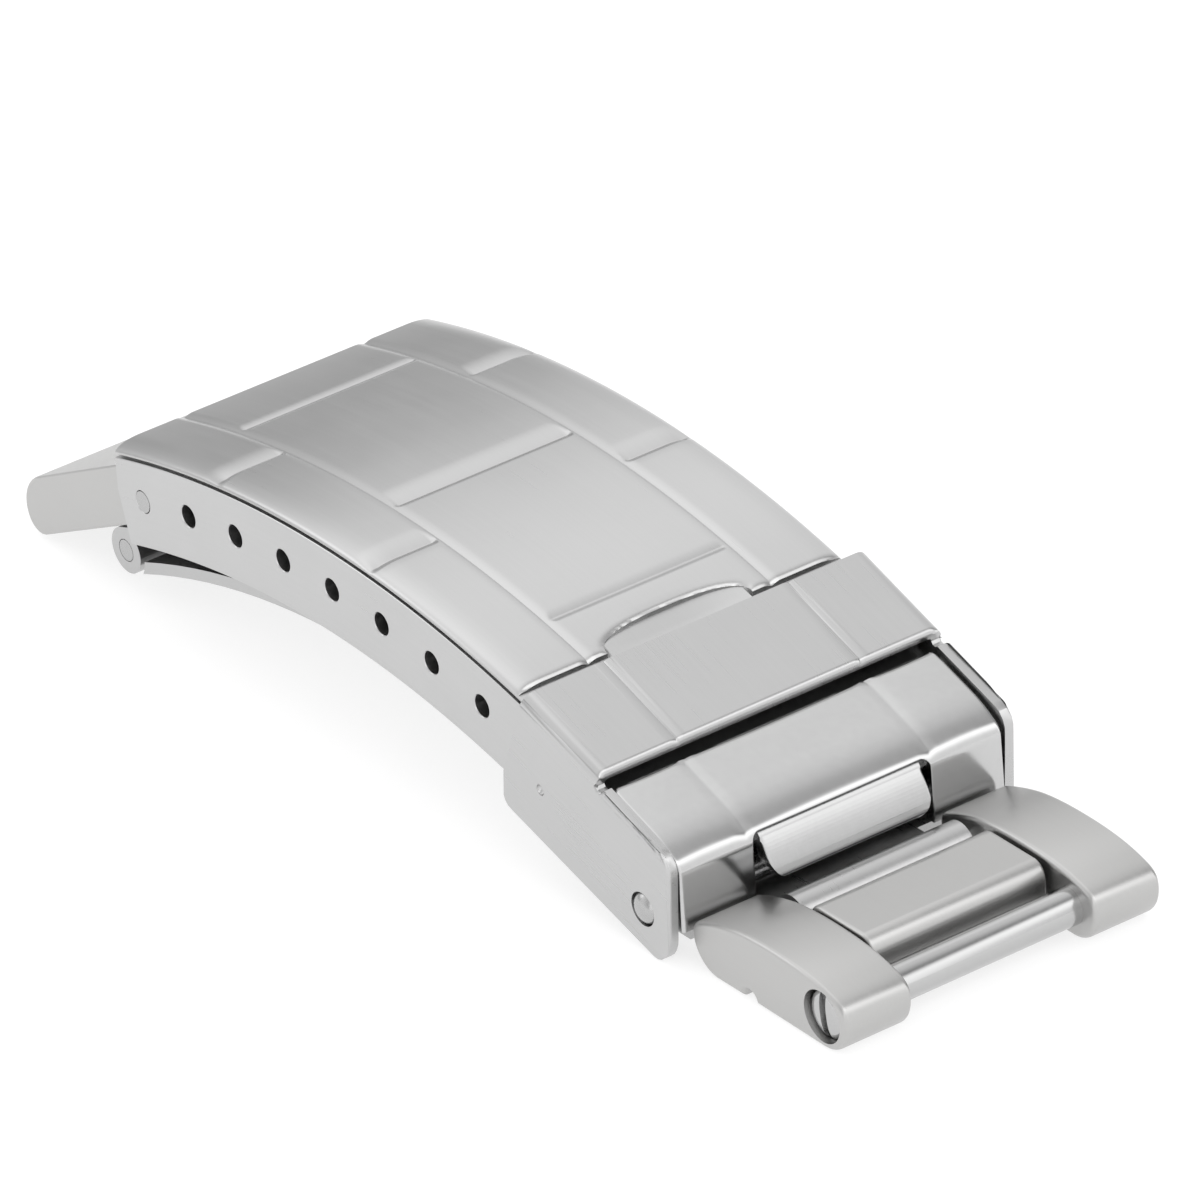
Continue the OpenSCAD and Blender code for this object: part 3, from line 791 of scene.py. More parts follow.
    def end_step(self) -> Piece:
        """What is cut away at the step, with the scallop for the thumb nail.

        Returns:
            The cutter.
        """
        half = self.scallop_width / 2
        low = [-PAST] + spaced(-half, half, 41) + [PAST]
        high = [(PAST, 9.0), (-PAST, 9.0)]

        def form(x: float, index: float) -> Vector:
            """Place of one point of the ring that goes round the cutter at x."""
            corner = int(index) % (len(low) + len(high))
            if corner >= len(low):
                y, z = high[corner - len(low)]
                return place(x, y, z)
            y = low[corner]
            dish = max(0.0, 1.0 - (y / half) ** 2)
            shallow = min(1.0, max(0.0, (-8.9 - x) / 1.1))
            depth = self.step_depth if abs(y) >= half else 0.12 + (0.30 - 0.12 * shallow) * dish
            floor_x, z = self.polar(self.radius - depth, self.lean(x, self.radius))
            return place(floor_x, y, z)

        piece = Bench.formed("step", spaced(-10.4, -6.9, 24), range(len(low) + len(high) + 1), form)
        foot, height = -5.0, 17.0
        plan = Bench.block("step_plan", (self.step_x, -11.0, foot), (0.0, 11.0, foot + height))
        scallop = Bench.swept("scallop", [place(x, y, foot) for x, y in self.scallop_plan()],
                              (0.0, 0.0, height * MM))
        Bench.join(plan, scallop, Join.ADD)
        Bench.outward(piece)
        Bench.join(piece, plan, Join.KEEP)
        return piece

    def drills(self) -> Piece:
        """The adjusting holes of both walls, each with a broken edge.

        Returns:
            All the drills as one piece.
        """
        radius = self.radius - self.hole_depth
        first = self.lean(SPRING_BAR[0], radius)
        mouth, wall = self.hole_radius + self.flare, self.half
        profile = [(-wall - 0.4, mouth), (-wall, mouth), (-wall + 0.04, self.hole_radius),
                   (wall - 0.04, self.hole_radius), (wall, mouth), (wall + 0.4, mouth)]
        drills = []
        for i in range(self.holes):
            at = self.polar(radius, first + i * self.hole_pitch / radius)
            drills.append(Bench.turned(f"drill_{i}", at, profile, 40))
        Bench.clear()
        for drill in drills:
            drill.select_set(True)
        bpy.context.view_layer.objects.active = drills[0]
        bpy.ops.object.join()
        return drills[0]


@dataclass
class FlipLock:
    """The folding lock: a bent sheet that snaps over the cover's end."""

    inner: float = 8.55
    sheet: float = 0.5
    top: float = 4.18
    bend: float = 0.7
    back: float = -9.45
    front: float = -4.15
    foot: float = -6.0
    tile_drop: float = 0.035
    line_drop: float = 0.06
    edge_drop: float = 0.05
    lip_round: float = 0.26
    dimple: Point = (-6.82, 2.75)
    dimple_radius: float = 0.26

    def corner(self, side: int, radius: float, steps: int) -> list[Point]:
        """Bend between the top and a side plate.

        Args:
            side: -1 for the near plate, 1 for the far one.
            radius: Radius of the bend.
            steps: Number of chords.

        Returns:
            Height on the slope and distance across, from the top outwards.
        """
        bend_y, bend_n = self.inner + self.sheet - self.bend, self.top - self.bend
        turns = [math.radians(90 * i / steps) for i in range(steps + 1)]
        return [(bend_n + radius * math.cos(t), side * (bend_y + radius * math.sin(t)))
                for t in turns]

    def level(self, y: float) -> float:
        """Height of the top, with its pressed lines, at a distance across."""
        line = self.line_drop * max(0.0, 1.0 - abs(abs(y) - ROW) / 0.34) ** 1.6
        return self.top - line - (0.0 if abs(y) < ROW else self.tile_drop)

    def section(self) -> list[Point]:
        """Section across the strap.

        Returns:
            Its corners, as height on the slope and distance across.
        """
        half, start = self.inner + self.sheet, self.top - self.bend - 0.02
        bend_y, inside = half - self.bend, self.bend - self.sheet
        near, far = ([(n - self.edge_drop * (1.0 - (abs(y) - bend_y) / self.bend), y)
                      for n, y in self.corner(side, self.bend, 12)] for side, _ in SIDES)
        banks = spaced(-0.5, 0.5, 21)
        ys = [-ROW + off for off in banks] + [ROW + off for off in banks]
        return [(self.foot, half), (start, half), *reversed(far),
                *((self.level(y), y) for y in reversed(ys)), *near,
                (start, -half), (self.foot, -half), (self.foot, -self.inner),
                *reversed(self.corner(-1, inside, 5)), *self.corner(1, inside, 5),
                (self.foot, self.inner)]

    def side_view(self) -> Piece:
        """Solid that the lock is trimmed to, with its side plates' outline.

        Returns:
            The solid.
        """
        top_n = self.top - self.bend - 0.1
        front_n = top_n + 0.2
        outline = [on_slope(s, n) for s, n in (
            (self.back, self.top + 1), (self.front, self.top + 1), (self.front, top_n + 0.1),
            (self.front + 0.12, top_n), (self.front + 0.3, top_n + 0.02),
            (self.front + 0.45, front_n), (0.1, front_n), (0.55, front_n - 0.08),
            (0.9, front_n - 0.3), (1.1, front_n - 0.6), (1.2, front_n - 0.95))]
        outline += [(1.71, -0.9), (1.66, -1.2), (1.53, -1.5), (1.34, -1.77), (1.1, -1.96),
                    (0.85, -2.04), (0.6, -2.03), (-9.05, 0.85), (-9.3, 0.95), (-9.47, 1.12),
                    (-9.55, 1.35), (-9.43, 2.58), on_slope(self.back, self.top - 0.2)]
        return Bench.prism("lock_trim", outline, -PAST, PAST)

    def build(self) -> None:
        """Bends, trims and dimples the lock."""
        corners = []
        for n, y in self.section():
            x, z = on_slope(self.back - 3.0, n)
            corners.append(place(x, y, z))
        x, z = on_slope(16.0, 0.0)
        along = place(x, 0.0, z) - place(0.0, 0.0, 0.0)
        piece = Bench.swept("flip_lock_sheet", corners, along)
        Bench.join(piece, self.side_view(), Join.KEEP)
        outer = self.inner + self.sheet

        def on_lip(point: Vector) -> bool:
            """Whether a point is on the front lip's upper edge."""
            s, n = on_slope_of(point)
            return abs(s - self.front) < CLOSE and n > 3.95

        Bench.round_edges(piece, lambda a, b: on_lip(a) and on_lip(b), self.lip_round, 6)
        for side, width in ((-1, 0.2), (1, 0.1)):
            Bench.round_edges(
                piece, lambda a, b: all(
                    abs(side * p.y - outer) < CLOSE and p.x > -3.6 and p.z > -1.0
                    for p in (a, b)), width, 4)
        Bench.soften(piece, 0.07, 3, 50.0)
        Bench.join(piece, Bench.rod("pin_hole", (0.0, 0.0), LOCK_BORE))
        for side, _ in SIDES:
            Bench.join(piece, Bench.begin(
                "dimple", bpy.ops.mesh.primitive_uv_sphere_add, segments=32, ring_count=16,
                radius=self.dimple_radius * MM,
                location=place(self.dimple[0], side * (outer + 0.05), self.dimple[1])))
        Bench.smooth(piece, 30.0, 3.0)
        hand_over(piece, SATIN_LOCK, "flip_lock", "flip_lock")


@dataclass
class Catch:
    """The catch: the polished panel, its frame and the bent tab."""

    half: float = 8.3
    wall: float = 0.6
    sheet: float = 0.6
    start_x: float = -5.2
    nose_x: float = -5.68
    front_x: float = 1.45
    blade_top: Point = (-0.1, 0.0)
    panel_half: float = 8.45
    panel_from: float = -3.85
    panel_top: float = 3.43
    panel_sheet: float = 0.5
    panel_corner: float = 0.17
    # Drop and width left off at the first stations of the panel
    panel_edge: tuple = ((0.16, 0.42), (0.06, 0.20), (0.02, 0.08), (0.0, 0.02))
    # Length and lean in degrees down the front of the panel, up to its bend
    leans: tuple = ((0.5, 21.5), (1.0, 26.5), (1.4, 31.0), (1.75, 35.0), (1.9, 38.0))
    bend_length: float = 0.8
    lip_x: float = 1.95
    lip_foot: float = -0.57
    notch: float = 4.65
    notch_corner: float = 0.45
    tab_lean: float = 29.0
    tab_reach: float = 1.17
    tab_swell: float = 0.34
    tab_corner: float = 1.1
    tab_round: float = 0.12
    rivet_hole: float = 0.5
    rivet_at: Point = (-3.1, 6.2)

    def build(self) -> None:
        """Builds the panel, the frame and the tab."""
        self.panel()
        self.frame()

    def relief(self, across: float, down: float) -> float:
        """Depth of the panel's pressed lines and of its softly crowned tiles.

        Args:
            across: Distance from the middle of the strap.
            down: Length past the start of the front bend, below 0 before it.

        Returns:
            The depth in millimetres.
        """
        deep, side = 0.05, abs(across)
        line = deep * max(0.0, 1.0 - abs(side - ROW) / 0.5) ** 1.5
        crown = deep * (across / ROW if side < ROW else (side - 6.6) / 1.8) ** 2
        fade = min(1.0, max(0.0, (0.1 + down) / 0.7))
        return (line + crown) * (1.0 - fade)

    def path(self) -> list[tuple[Vector, Vector, float]]:
        """Stations down the panel, whose front leans ever more and then bends upright.

        Returns:
            Place, outward direction and length past the start of the bend of each.
        """
        flat = math.degrees(SLOPE)
        bend_from, bend_lean = self.leans[-1]
        leans = [(0.0, flat), *self.leans]
        leans += [(bend_from + i * self.bend_length / 12,
                   bend_lean + (90.0 - bend_lean) * i / 12) for i in range(1, 13)]
        trail, x, z = [(0.0, 0.0, flat)], 0.0, 0.0
        for (start, lean0), (end, lean1) in zip(leans, leans[1:]):
            for i in range(4):
                lean = math.radians(lean0 + (lean1 - lean0) * (i + 0.5) / 4)
                step = (end - start) / 4
                x, z = x + step * math.cos(lean), z - step * math.sin(lean)
            trail.append((x, z, lean1))
        from_x = self.lip_x - x
        from_z = slope_z(from_x, self.panel_top)
        from_s = from_x * math.cos(SLOPE) - from_z * math.sin(SLOPE)
        up = Vector((math.sin(SLOPE), 0.0, math.cos(SLOPE)))
        stations = []
        for s in [self.panel_from + off for off in (0.02, 0.1, 0.2, 0.35)] + spaced(
                self.panel_from + 0.8, from_s - 0.1, 14):
            at_x, at_z = on_slope(s, self.panel_top)
            stations.append((Vector((at_x, 0.0, at_z)), up, s - from_s - bend_from))
        for (x, z, lean), (along, _) in zip(trail, leans):
            turn = math.radians(90.0 - lean)
            out = Vector((math.cos(turn), 0.0, math.sin(turn)))
            stations.append((Vector((from_x + x, 0.0, from_z + z)), out, along - bend_from))
        bottom = from_z + z
        for z in (bottom - 0.1, bottom - 0.8, bottom - 1.6, self.lip_foot + 0.06, self.lip_foot):
            stations.append((Vector((self.lip_x, 0.0, z)), Vector((1.0, 0.0, 0.0)), 3.0))
        return stations

    def panel(self) -> None:
        """Presses the panel with its rounded front, lips and notch."""
        half, corner = self.panel_half, self.panel_corner
        ring = [(-half, self.panel_sheet), (-half, corner)]
        ring += [(-half + corner * (1 - math.cos(t)), corner * (1 - math.sin(t)))
                 for t in (math.pi / 2 * i / 7 for i in range(1, 8))]
        ys = spaced(-half + corner + 0.05, -ROW - 0.65, 9)
        ys += [-ROW + off for off in spaced(-0.6, 0.6, 17)]
        ring += [(y, 0.0) for y in ys + spaced(-ROW + 0.7, 0.0, 12)]
        ring += [(-y, drop) for y, drop in reversed(ring[:-1])]
        ring += [(y, self.panel_sheet) for y in (6.5, 4.5, 2.0, -2.0, -4.5, -6.5)]
        ring.append(ring[0])
        path = self.path()

        def form(station: float, index: float) -> Vector:
            """Place of one point of the ring at one station."""
            at, out, down = path[int(station)]
            across, drop = ring[int(index)]
            if drop < 0.41:
                drop += self.relief(across, down)
            if station < len(self.panel_edge):
                least, short = self.panel_edge[int(station)]
                across *= 1.0 - short / half
                drop = max(drop, least)
            spot = at - out * drop
            return place(spot.x, across, spot.z)

        piece = Bench.formed("panel", range(len(path)), range(len(ring)), form)
        top = slope_z(self.front_x, self.panel_top - self.panel_sheet)
        cutter = Bench.block("notch", (self.front_x - 0.2, -self.notch, self.lip_foot - 1.0),
                             (self.front_x + 2.0, self.notch, top))
        Bench.round_edges(
            cutter, lambda a, b: min(a.z, b.z) > 1.8 and same(a, b, "y")
            and abs(abs(a.y) - self.notch) < CLOSE, self.notch_corner, 6)
        Bench.join(piece, cutter)
        Bench.soften(piece, 0.05, 2, 55.0)
        Bench.smooth(piece)
        hand_over(piece, POLISHED, "inner", "catch_panel")

    @staticmethod
    def layer(x0: float, x1: float, n0: float, n1: float) -> list[Point]:
        """Corners of a layer on the slope, between levels n0 and n1, with upright ends."""
        return [(x, slope_z(x, n)) for x, n in ((x0, n0), (x0, n1), (x1, n1), (x1, n0))]

    def frame(self) -> None:
        """Folds the frame: deck, nose, walls, floor flanges and tab."""
        deck = self.panel_top - self.panel_sheet
        under = deck - self.sheet
        floor_x, floor_n = self.blade_top
        inner, skin = self.half - self.wall, 0.001
        piece = Bench.prism("frame", self.layer(self.start_x, self.front_x, under, deck),
                            -self.half, self.half)
        nose = self.layer(self.nose_x, self.start_x + 0.5, under + skin, deck - skin)
        Bench.join(piece, Bench.prism("nose", nose, -7.6, 7.6), Join.ADD)
        wall = [(self.start_x, slope_z(self.start_x, under + 0.2)),
                (self.front_x, slope_z(self.front_x, under + 0.2)),
                (self.front_x, self.lip_foot), (0.9, -0.975), (floor_x, slope_z(floor_x, floor_n)),
                (self.start_x, slope_z(self.start_x, floor_n))]
        flange = [on_slope(s, n) for s, n in (
            (-4.6, floor_n + skin), (-4.6, floor_n + 0.6), (-1.1, floor_n + 0.6),
            (-1.1, floor_n + skin))]
        for side, _ in SIDES:
            for name, outline, ys in (("wall", wall, (self.half - skin, inner)),
                                      ("flange", flange, (inner - 2.6, inner + 0.1))):
                Bench.join(piece, Bench.prism(name, outline, *span(side, *ys)), Join.ADD)
        Bench.join(piece, self.tab(deck), Join.ADD)
        Bench.join(piece, Bench.rod("pin_hole", (0.0, 0.0), LOCK_BORE, -9.5, 9.5))
        for side, _ in SIDES:
            x, z = on_slope(self.rivet_at[0], floor_n)
            Bench.join(piece, Bench.begin(
                "rivet_hole", bpy.ops.mesh.primitive_cylinder_add, vertices=40,
                radius=self.rivet_hole * MM, depth=3.0 * MM,
                location=place(x, side * self.rivet_at[1], z), rotation=(0.0, SLOPE, 0.0)))
        Bench.soften(piece, 0.05, 2, 40.0)
        Bench.smooth(piece)
        hand_over(piece, STAMPED, "inner", "catch_frame")

    def tab(self, deck: float) -> Piece:
        """Tab that bends down between the panel lips.

        Args:
            deck: Level of the frame's top on the slope.

        Returns:
            The tab.
        """
        level, half, foot = deck - 0.05, self.notch - 0.45, self.sheet / 2
        bend_x = self.front_x + 0.05
        bend = (bend_x - self.sheet * math.sin(SLOPE),
                slope_z(bend_x, level) - self.sheet * math.cos(SLOPE))
        lean = math.radians(self.tab_lean)
        out, down = (math.cos(lean), math.sin(lean)), (math.sin(lean), -math.cos(lean))
        top = (bend[0] + self.sheet * out[0], bend[1] + self.sheet * out[1])
        reach = (self.front_x + self.tab_reach - top[0]) / down[0]
        end = (top[0] + down[0] * reach - foot * out[0], top[1] + down[1] * reach - foot * out[1])
        tip = (end[0] + foot * out[0], end[1] + foot * out[1])
        back_x = self.front_x - 0.6
        outline = [(back_x, slope_z(back_x, deck - self.sheet)), (back_x, slope_z(back_x, level))]
        outline += arc(bend, self.sheet, 90.0 - math.degrees(SLOPE), self.tab_lean, 8)
        for t in (i / 10 for i in range(1, 10)):
            swell = self.tab_swell * t * (1.0 - t)
            outline.append((top[0] + (tip[0] - top[0]) * t + swell * out[0],
                            top[1] + (tip[1] - top[1]) * t + swell * out[1]))
        outline += arc(end, foot, self.tab_lean, self.tab_lean - 180.0, 12) + [bend]
        piece = Bench.prism("tab", outline, -half, half)
        low = end[1] + 0.2

        def on_side(a: Vector, b: Vector, highest: float) -> bool:
            """Whether an edge runs in either side of the tab, below a height."""
            return same(a, b, "y") and abs(abs(a.y) - half) < CLOSE and max(a.z, b.z) < highest

        Bench.round_edges(piece, lambda a, b: on_side(a, b, low + 2.0)
                          and min(a.x, b.x) > top[0] - CLOSE, self.tab_round, 3)
        keep = Bench.block("tab_plan", (back_x - 1.0, -half, low - 0.2 - foot),
                           (self.front_x + 2.0, half, 6.0))
        Bench.round_edges(keep, lambda a, b: on_side(a, b, low + 0.1), self.tab_corner, 10)
        Bench.join(piece, keep, Join.KEEP)
        return piece


@dataclass
class EndLink:
    """The end link: two side links, a centre link and the screwed bar."""

    outer: float = 8.2
    gap: float = 4.75
    middle_z: float = -0.45
    round: float = 1.65
    lobe_x: float = 3.8
    screw: Point = (11.0, -0.6)
    screw_radius: float = 0.85
    head_radius: float = 1.13
    slot: tuple = (0.42, 0.7, 4.0)
    slot_turn: float = -6.0
    pin: Point = (4.1, -0.545)
    pin_radius: float = 0.5
    nick: Point = (5.96, 0.45)
    crown: float = 14.0
    crown_low: float = 0.03
    crown_blend: float = 0.03
    centre_x: Point = (5.45, 9.75)
    centre_height: float = 2.85
    centre_play: float = 0.2

    def crowned(self, point: Point) -> Point:
        """Point of a side link's outline, drawn in to the crown's arc.

        Args:
            point: The point before.

        Returns:
            The point after, on a smooth way over into the arc.
        """
        middle = (self.lobe_x + self.screw[0]) / 2 + 0.4
        under = self.middle_z + self.round - self.crown_low - self.crown
        soft = self.crown_blend
        over = math.hypot(point[0] - middle, point[1] - under) / self.crown - 1.0
        if over <= -soft:
            return point
        kept = 0.0 if over >= soft else over - (over + soft) ** 2 / (4.0 * soft)
        share = (1.0 + kept) / (1.0 + over)
        return (middle + (point[0] - middle) * share, under + (point[1] - under) * share)

    def outline(self) -> list[Point]:
        """Side view of a side link, two lobes with a nick between them.

        Returns:
            Its corners in order.
        """
        low, top = self.middle_z - self.round, self.middle_z + self.round
        points = arc((self.lobe_x, self.middle_z), self.round, 90.0, 270.0, 36)
        points += arc((self.nick[0], low), self.nick[1], 180.0, 0.0, 10)
        points += arc((self.screw[0], self.middle_z), self.round, -90.0, 90.0, 36)
        points += [(x, top) for x in spaced(self.screw[0], self.lobe_x, 20)[1:-1]]
        return [self.crowned(point) for point in points]

    def build(self) -> None:
        """Builds the links and the bar."""
        for side, name in SIDES:
            piece = Bench.prism(f"side_block_{name}", self.outline(),
                                *span(side, self.outer, self.gap))
            Bench.round_edges(piece, lambda a, b: same(a, b, "y"), 0.24, 5)
            bores = [("bar_hole", self.screw, self.screw_radius, 0.0, 7.6)]
            if side < 0:
                bores = [("head_hole", self.screw, 1.2, -9.0, -7.4),
                         ("bar_hole", self.screw, self.screw_radius, -9.0, 0.0)]
            bores.append(("pin_hole", self.pin, self.pin_radius, *span(side, 0.0, 7.0)))
            for bore in bores:
                Bench.join(piece, Bench.rod(*bore))
            Bench.smooth(piece, 30.0, 4.0)
            hand_over(piece, SATIN_LINK, "end_link", f"side_link_{name}")
        self.centre()
        self.bar()

    def centre(self) -> None:
        """Shapes the centre link, a bar with rounded long edges."""
        foot, half = self.middle_z - self.round + 0.2, self.gap - self.centre_play
        (left, right), top = self.centre_x, foot + self.centre_height
        piece = Bench.prism("centre_bar", [(left, foot), (left, top), (right, top), (right, foot)],
                            -half, half)
        Bench.round_edges(piece, lambda a, b: same(a, b, "xz") and a.z > 0, 0.75, 10)
        Bench.round_edges(piece, lambda a, b: same(a, b, "xz") and a.z < foot + CLOSE, 0.3, 4)
        Bench.round_edges(piece, lambda a, b: same(a, b, "y"), 0.18, 4)
        Bench.smooth(piece, 30.0, 4.0)
        hand_over(piece, SATIN_LINK, "end_link", "centre_link")

    def bar(self) -> None:
        """Turns the screwed bar and cuts the slot in its head."""
        near, shaft = -self.outer + 0.1, self.screw_radius
        head = [(-0.03, 0.3), (0.0, 0.6), (0.06, 0.85), (0.14, 1.0), (0.25, 1.1),
                (0.36, self.head_radius), (0.7, self.head_radius), (0.7, shaft)]
        profile = [(near + y, radius) for y, radius in head] + [(7.5, shaft), (7.6, shaft - 0.1)]
        piece = Bench.turned("bar_with_slot", self.screw, profile, 96)
        Bench.join(piece, Bench.begin(
            "slot", bpy.ops.mesh.primitive_cube_add, size=1.0,
            location=place(self.screw[0], near, self.screw[1]),
            scale=[size * MM for size in self.slot], rotation=(0.0, math.radians(self.slot_turn), 0.0)))
        Bench.soften(piece, 0.03, 2, 50.0)
        Bench.smooth(piece)
        hand_over(piece, BAR, "end_link", "screw_bar")


@dataclass
class BandLink:
    """The link of the watch band that the spring bar holds in the cover."""

    bar_radius: float = 0.93
    tilt: float = 26.04
    half: float = 7.65
    upper: float = 1.6
    lower: float = 1.15
    length: float = 12.0
    end_upper: float = 1.9
    end_lower: float = 0.9
    end_sink: float = -0.2

    def point(self, along: float, up: float) -> Point:
        """Point along the link from the spring bar and up square to it."""
        tilt = math.radians(self.tilt)
        return (SPRING_BAR[0] - along * math.cos(tilt) - up * math.sin(tilt),
                SPRING_BAR[1] - along * math.sin(tilt) + up * math.cos(tilt))

    def build(self) -> None:
        """Shapes the link round the bar."""
        shape = [(-self.upper * 0.69, -self.lower)]
        shape += [p for p in arc((0.0, 0.0), self.upper, 250.0, 92.0, 24) if p[1] > -self.lower]
        for wide, tall, first, turn, count in (
                (self.end_upper, self.upper + 0.1, 90.0, -6.0, 15),
                (self.end_lower, self.lower - 0.2, 0.0, -9.0, 11)):
            for t in (math.radians(first + turn * i) for i in range(count)):
                shape.append((self.length - wide + wide * math.cos(t),
                              self.end_sink + tall * math.sin(t)))
        piece = Bench.prism("band_link_body", [self.point(*p) for p in shape],
                            -self.half, self.half)
        Bench.round_edges(piece, lambda a, b: same(a, b, "y"), 0.14, 4)
        Bench.join(piece, Bench.rod("bar_hole", SPRING_BAR, self.bar_radius, -9.0, 9.0))
        Bench.smooth(piece, 30.0, 4.0)
        hand_over(piece, SATIN_LINK, "band_link", "band_link")


@dataclass
class Pins:
    """The lock pin, the spring of the spring bar and the finishes of the rest."""

    end: float = 9.05
    dome: tuple = ((0.19, 0.08), (0.18, 0.2), (0.15, 0.34), (0.10, 0.47), (0.03, 0.58),
                   (-0.06, 0.67), (-0.16, 0.73), (-0.26, 0.75))
    wire: float = 0.1
    coil: float = 0.44
    turns: int = 6
    travel: float = 0.9
    kept: tuple = (
        (BLADE, ("inner_blade", "outer_blade")),
        (PIN, ("frame_rivet_near", "frame_rivet_far", "fold_pin", "cover_pin",
               "spring_bar_tip_near", "spring_bar_tip_far", "link_pin", "centre_pin_near",
               "centre_pin_far")),
        (BAR, ("spring_bar_tube",)),
    )

    def build(self) -> None:
        """Turns the lock pin, winds the spring and dresses the CAD pieces that stay."""
        profile = [(-self.end - out, radius) for out, radius in self.dome]
        profile += [(self.end + out, radius) for out, radius in reversed(self.dome)]
        piece = Bench.turned("lock_rivet", (0.0, 0.0), profile)
        Bench.smooth(piece, 40.0)
        hand_over(piece, PIN, "inner", "lock_pin")
        for finish, names in self.kept:
            for name in names:
                dress(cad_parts[name], finish)
                log.info("%s: kept from the CAD model", name)
        self.spring()

    def spring(self) -> None:
        """Winds the spring in two halves, one to each side of the middle."""
        reach, (x, z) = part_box("spring_bar_spring")[1].y, SPRING_BAR
        centre = place(x, 0.0, z)
        for side, name in SIDES:
            Bench.clear()
            bpy.ops.object.empty_add(location=centre)
            axle = bpy.context.active_object
            piece = Bench.begin(
                f"spring_half_{name}", bpy.ops.mesh.primitive_circle_add, vertices=8,
                radius=self.wire * MM, location=place(x + self.coil, 0.0, z), rotation=ACROSS)
            Bench.apply(piece, "SCREW", object=axle, axis="Y", angle=side * 2 * math.pi,
                        iterations=self.turns, screw_offset=side * reach / self.turns,
                        steps=14, render_steps=14)
            bpy.data.objects.remove(axle)
            Bench.fill(piece)
            Bench.shade(piece, 50.0)
            hand_over(piece, WIRE, "cover", "spring_bar_spring")
            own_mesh(piece)


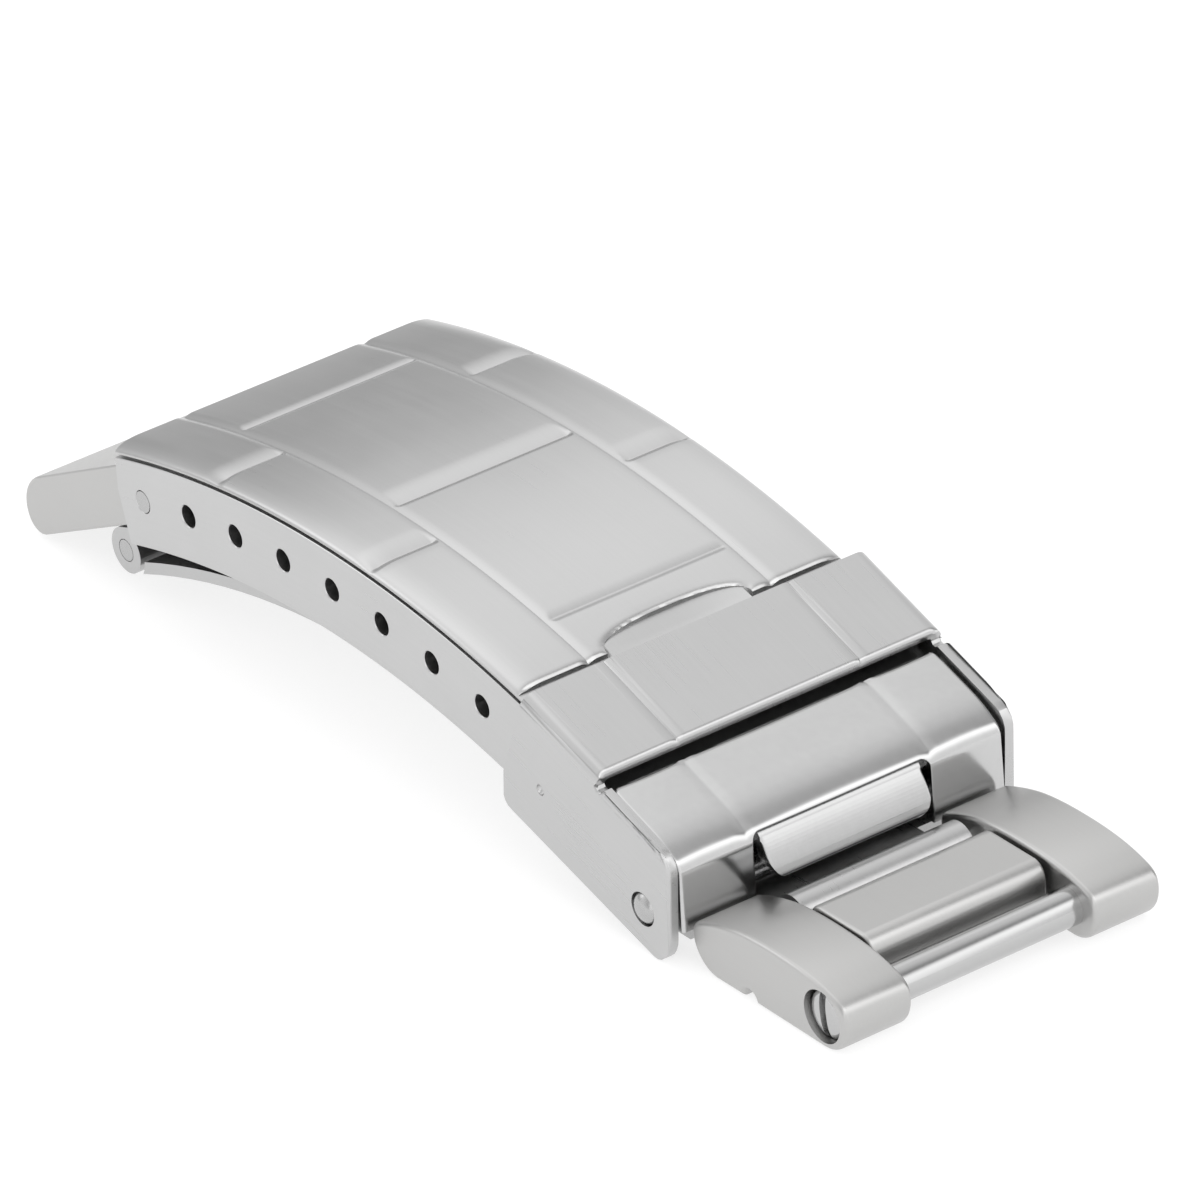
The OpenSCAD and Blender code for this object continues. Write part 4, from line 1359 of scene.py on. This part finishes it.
@dataclass
class Studio:
    """Floor, light and camera."""

    azimuth: float = 55.45
    elevation: float = 29.6
    roll: float = 4.27
    distance: float = 600.0
    lens: float = 425.0
    shift: Point = (1.38, 1.66)
    target: tuple = (0.17, 0.0, 4.1)
    floor_tone: float = 0.32
    floor_glow: float = 0.74
    # Where each stop is, from -1 at the band end to 1 at the link end, and its light
    stops: tuple = ((-1.0, 0.40), (-0.86, 0.45), (-0.79, 0.60), (-0.74, 0.90), (-0.6, 1.26),
                    (-0.5, 1.25), (-0.373, 1.10), (-0.275, 1.08), (-0.17, 1.02), (0.0, 0.84),
                    (0.13, 0.62), (0.27, 0.5), (0.37, 1.2), (0.49, 1.95), (0.65, 1.8),
                    (0.79, 1.15), (1.0, 1.0))
    full: float = 2.0
    side_fall: float = 0.55
    side_middle: float = 0.493
    calm: Point = (0.7, 0.12)
    calm_from: float = -0.05
    calm_to: float = -0.5
    lamp_at: tuple = (-0.36, -0.25, 0.25)
    lamp_size: float = 0.2
    lamp_power: float = 0.12

    def build(self) -> None:
        """Sets up the studio."""
        self.camera()
        self.floor()
        self.sky()
        self.lamp()
        bpy.context.scene.view_settings.view_transform = "Standard"

    def camera(self) -> None:
        """Puts the camera at the photograph's angle."""
        a, e, r = (math.radians(d) for d in (self.azimuth, self.elevation, self.roll))
        right = Vector((math.cos(a), math.sin(a), 0.0))
        up = Vector((-math.sin(a) * math.sin(e), math.cos(a) * math.sin(e), math.cos(e)))
        back = Vector((math.sin(a) * math.cos(e), -math.cos(a) * math.cos(e), math.sin(e)))
        eye = Vector(self.target) + self.shift[0] * right + self.shift[1] * up
        eye = (eye + self.distance * back) * MM
        x_axis = math.cos(r) * right - math.sin(r) * up
        y_axis = math.sin(r) * right + math.cos(r) * up
        turn = Matrix((x_axis, y_axis, back)).transposed().to_4x4()
        data = bpy.data.cameras.new("camera")
        data.lens, data.sensor_width = self.lens, 36.0
        data.clip_start, data.clip_end = 0.01, 10.0
        camera = bpy.data.objects.new("camera", data)
        bpy.context.scene.collection.objects.link(camera)
        camera.matrix_world = Matrix.Translation(eye) @ turn
        bpy.context.scene.camera = camera

    def floor(self) -> None:
        """Lays a plain pale floor."""
        piece = Bench.begin("floor", bpy.ops.mesh.primitive_plane_add, size=3.0)
        made = bpy.data.materials.new("pale_floor")
        wiring = Wiring(made)
        wiring.feed(made.node_tree.nodes["Principled BSDF"], {
            "Base Color": (self.floor_tone, self.floor_tone, self.floor_tone, 1.0),
            "Roughness": 0.9,
            "Emission Color": (1.0, 1.0, 1.0, 1.0),
            "Emission Strength": self.floor_glow,
        })
        piece.data.materials.append(made)

    def sky(self) -> None:
        """Soft light all round, dim past the band end, with a calmer near half."""
        world = bpy.data.worlds.new("studio")
        wiring = Wiring(world)
        x, y, _ = wiring.parts(wiring.add("TexCoord", {}, "Generated"))
        along = wiring.add("MapRange", {"Value": x, "From Min": -1.0})
        light = wiring.add("ValToRGB", {"Fac": along})
        stops = light.node.color_ramp.elements
        for at, _ in self.stops[1:-1]:
            stops.new((at + 1.0) / 2.0)
        for stop, (_, bright) in zip(stops, self.stops):
            stop.color = (*[bright / self.full] * 3, 1.0)
        fall = self.side_fall / self.full
        across = wiring.math("MULTIPLY_ADD", y, -fall, fall * self.side_middle)
        calm = wiring.math("MULTIPLY_ADD", light, *self.calm)
        far_share = wiring.add("MapRange", {
            "Value": y, "From Min": self.calm_to, "From Max": self.calm_from},
            interpolation_type="SMOOTHSTEP")
        blend = wiring.add("Mix", {
            "Factor": far_share, "A": calm, "B": wiring.math("ADD", light, across)})
        wiring.feed(world.node_tree.nodes["Background"], {"Color": blend, "Strength": self.full})
        bpy.context.scene.world = world

    def lamp(self) -> None:
        """Adds a large soft box beside the near side."""
        data = bpy.data.lights.new("soft_box_near", "AREA")
        data.shape, data.size, data.energy = "SQUARE", self.lamp_size, self.lamp_power
        lamp = bpy.data.objects.new("soft_box_near", data)
        bpy.context.scene.collection.objects.link(lamp)
        lamp.location = self.lamp_at
        lamp.rotation_euler = (-Vector(self.lamp_at)).to_track_quat("-Z", "Y").to_euler()


def main() -> None:
    """Builds the clasp in order."""
    logging.basicConfig(level=logging.INFO, format="%(message)s")
    for part in (Studio(), Cover(), FlipLock(), Catch(), EndLink(), BandLink(), Pins()):
        part.build()
    Bench.clear()


if __name__ == "__main__":
    main()
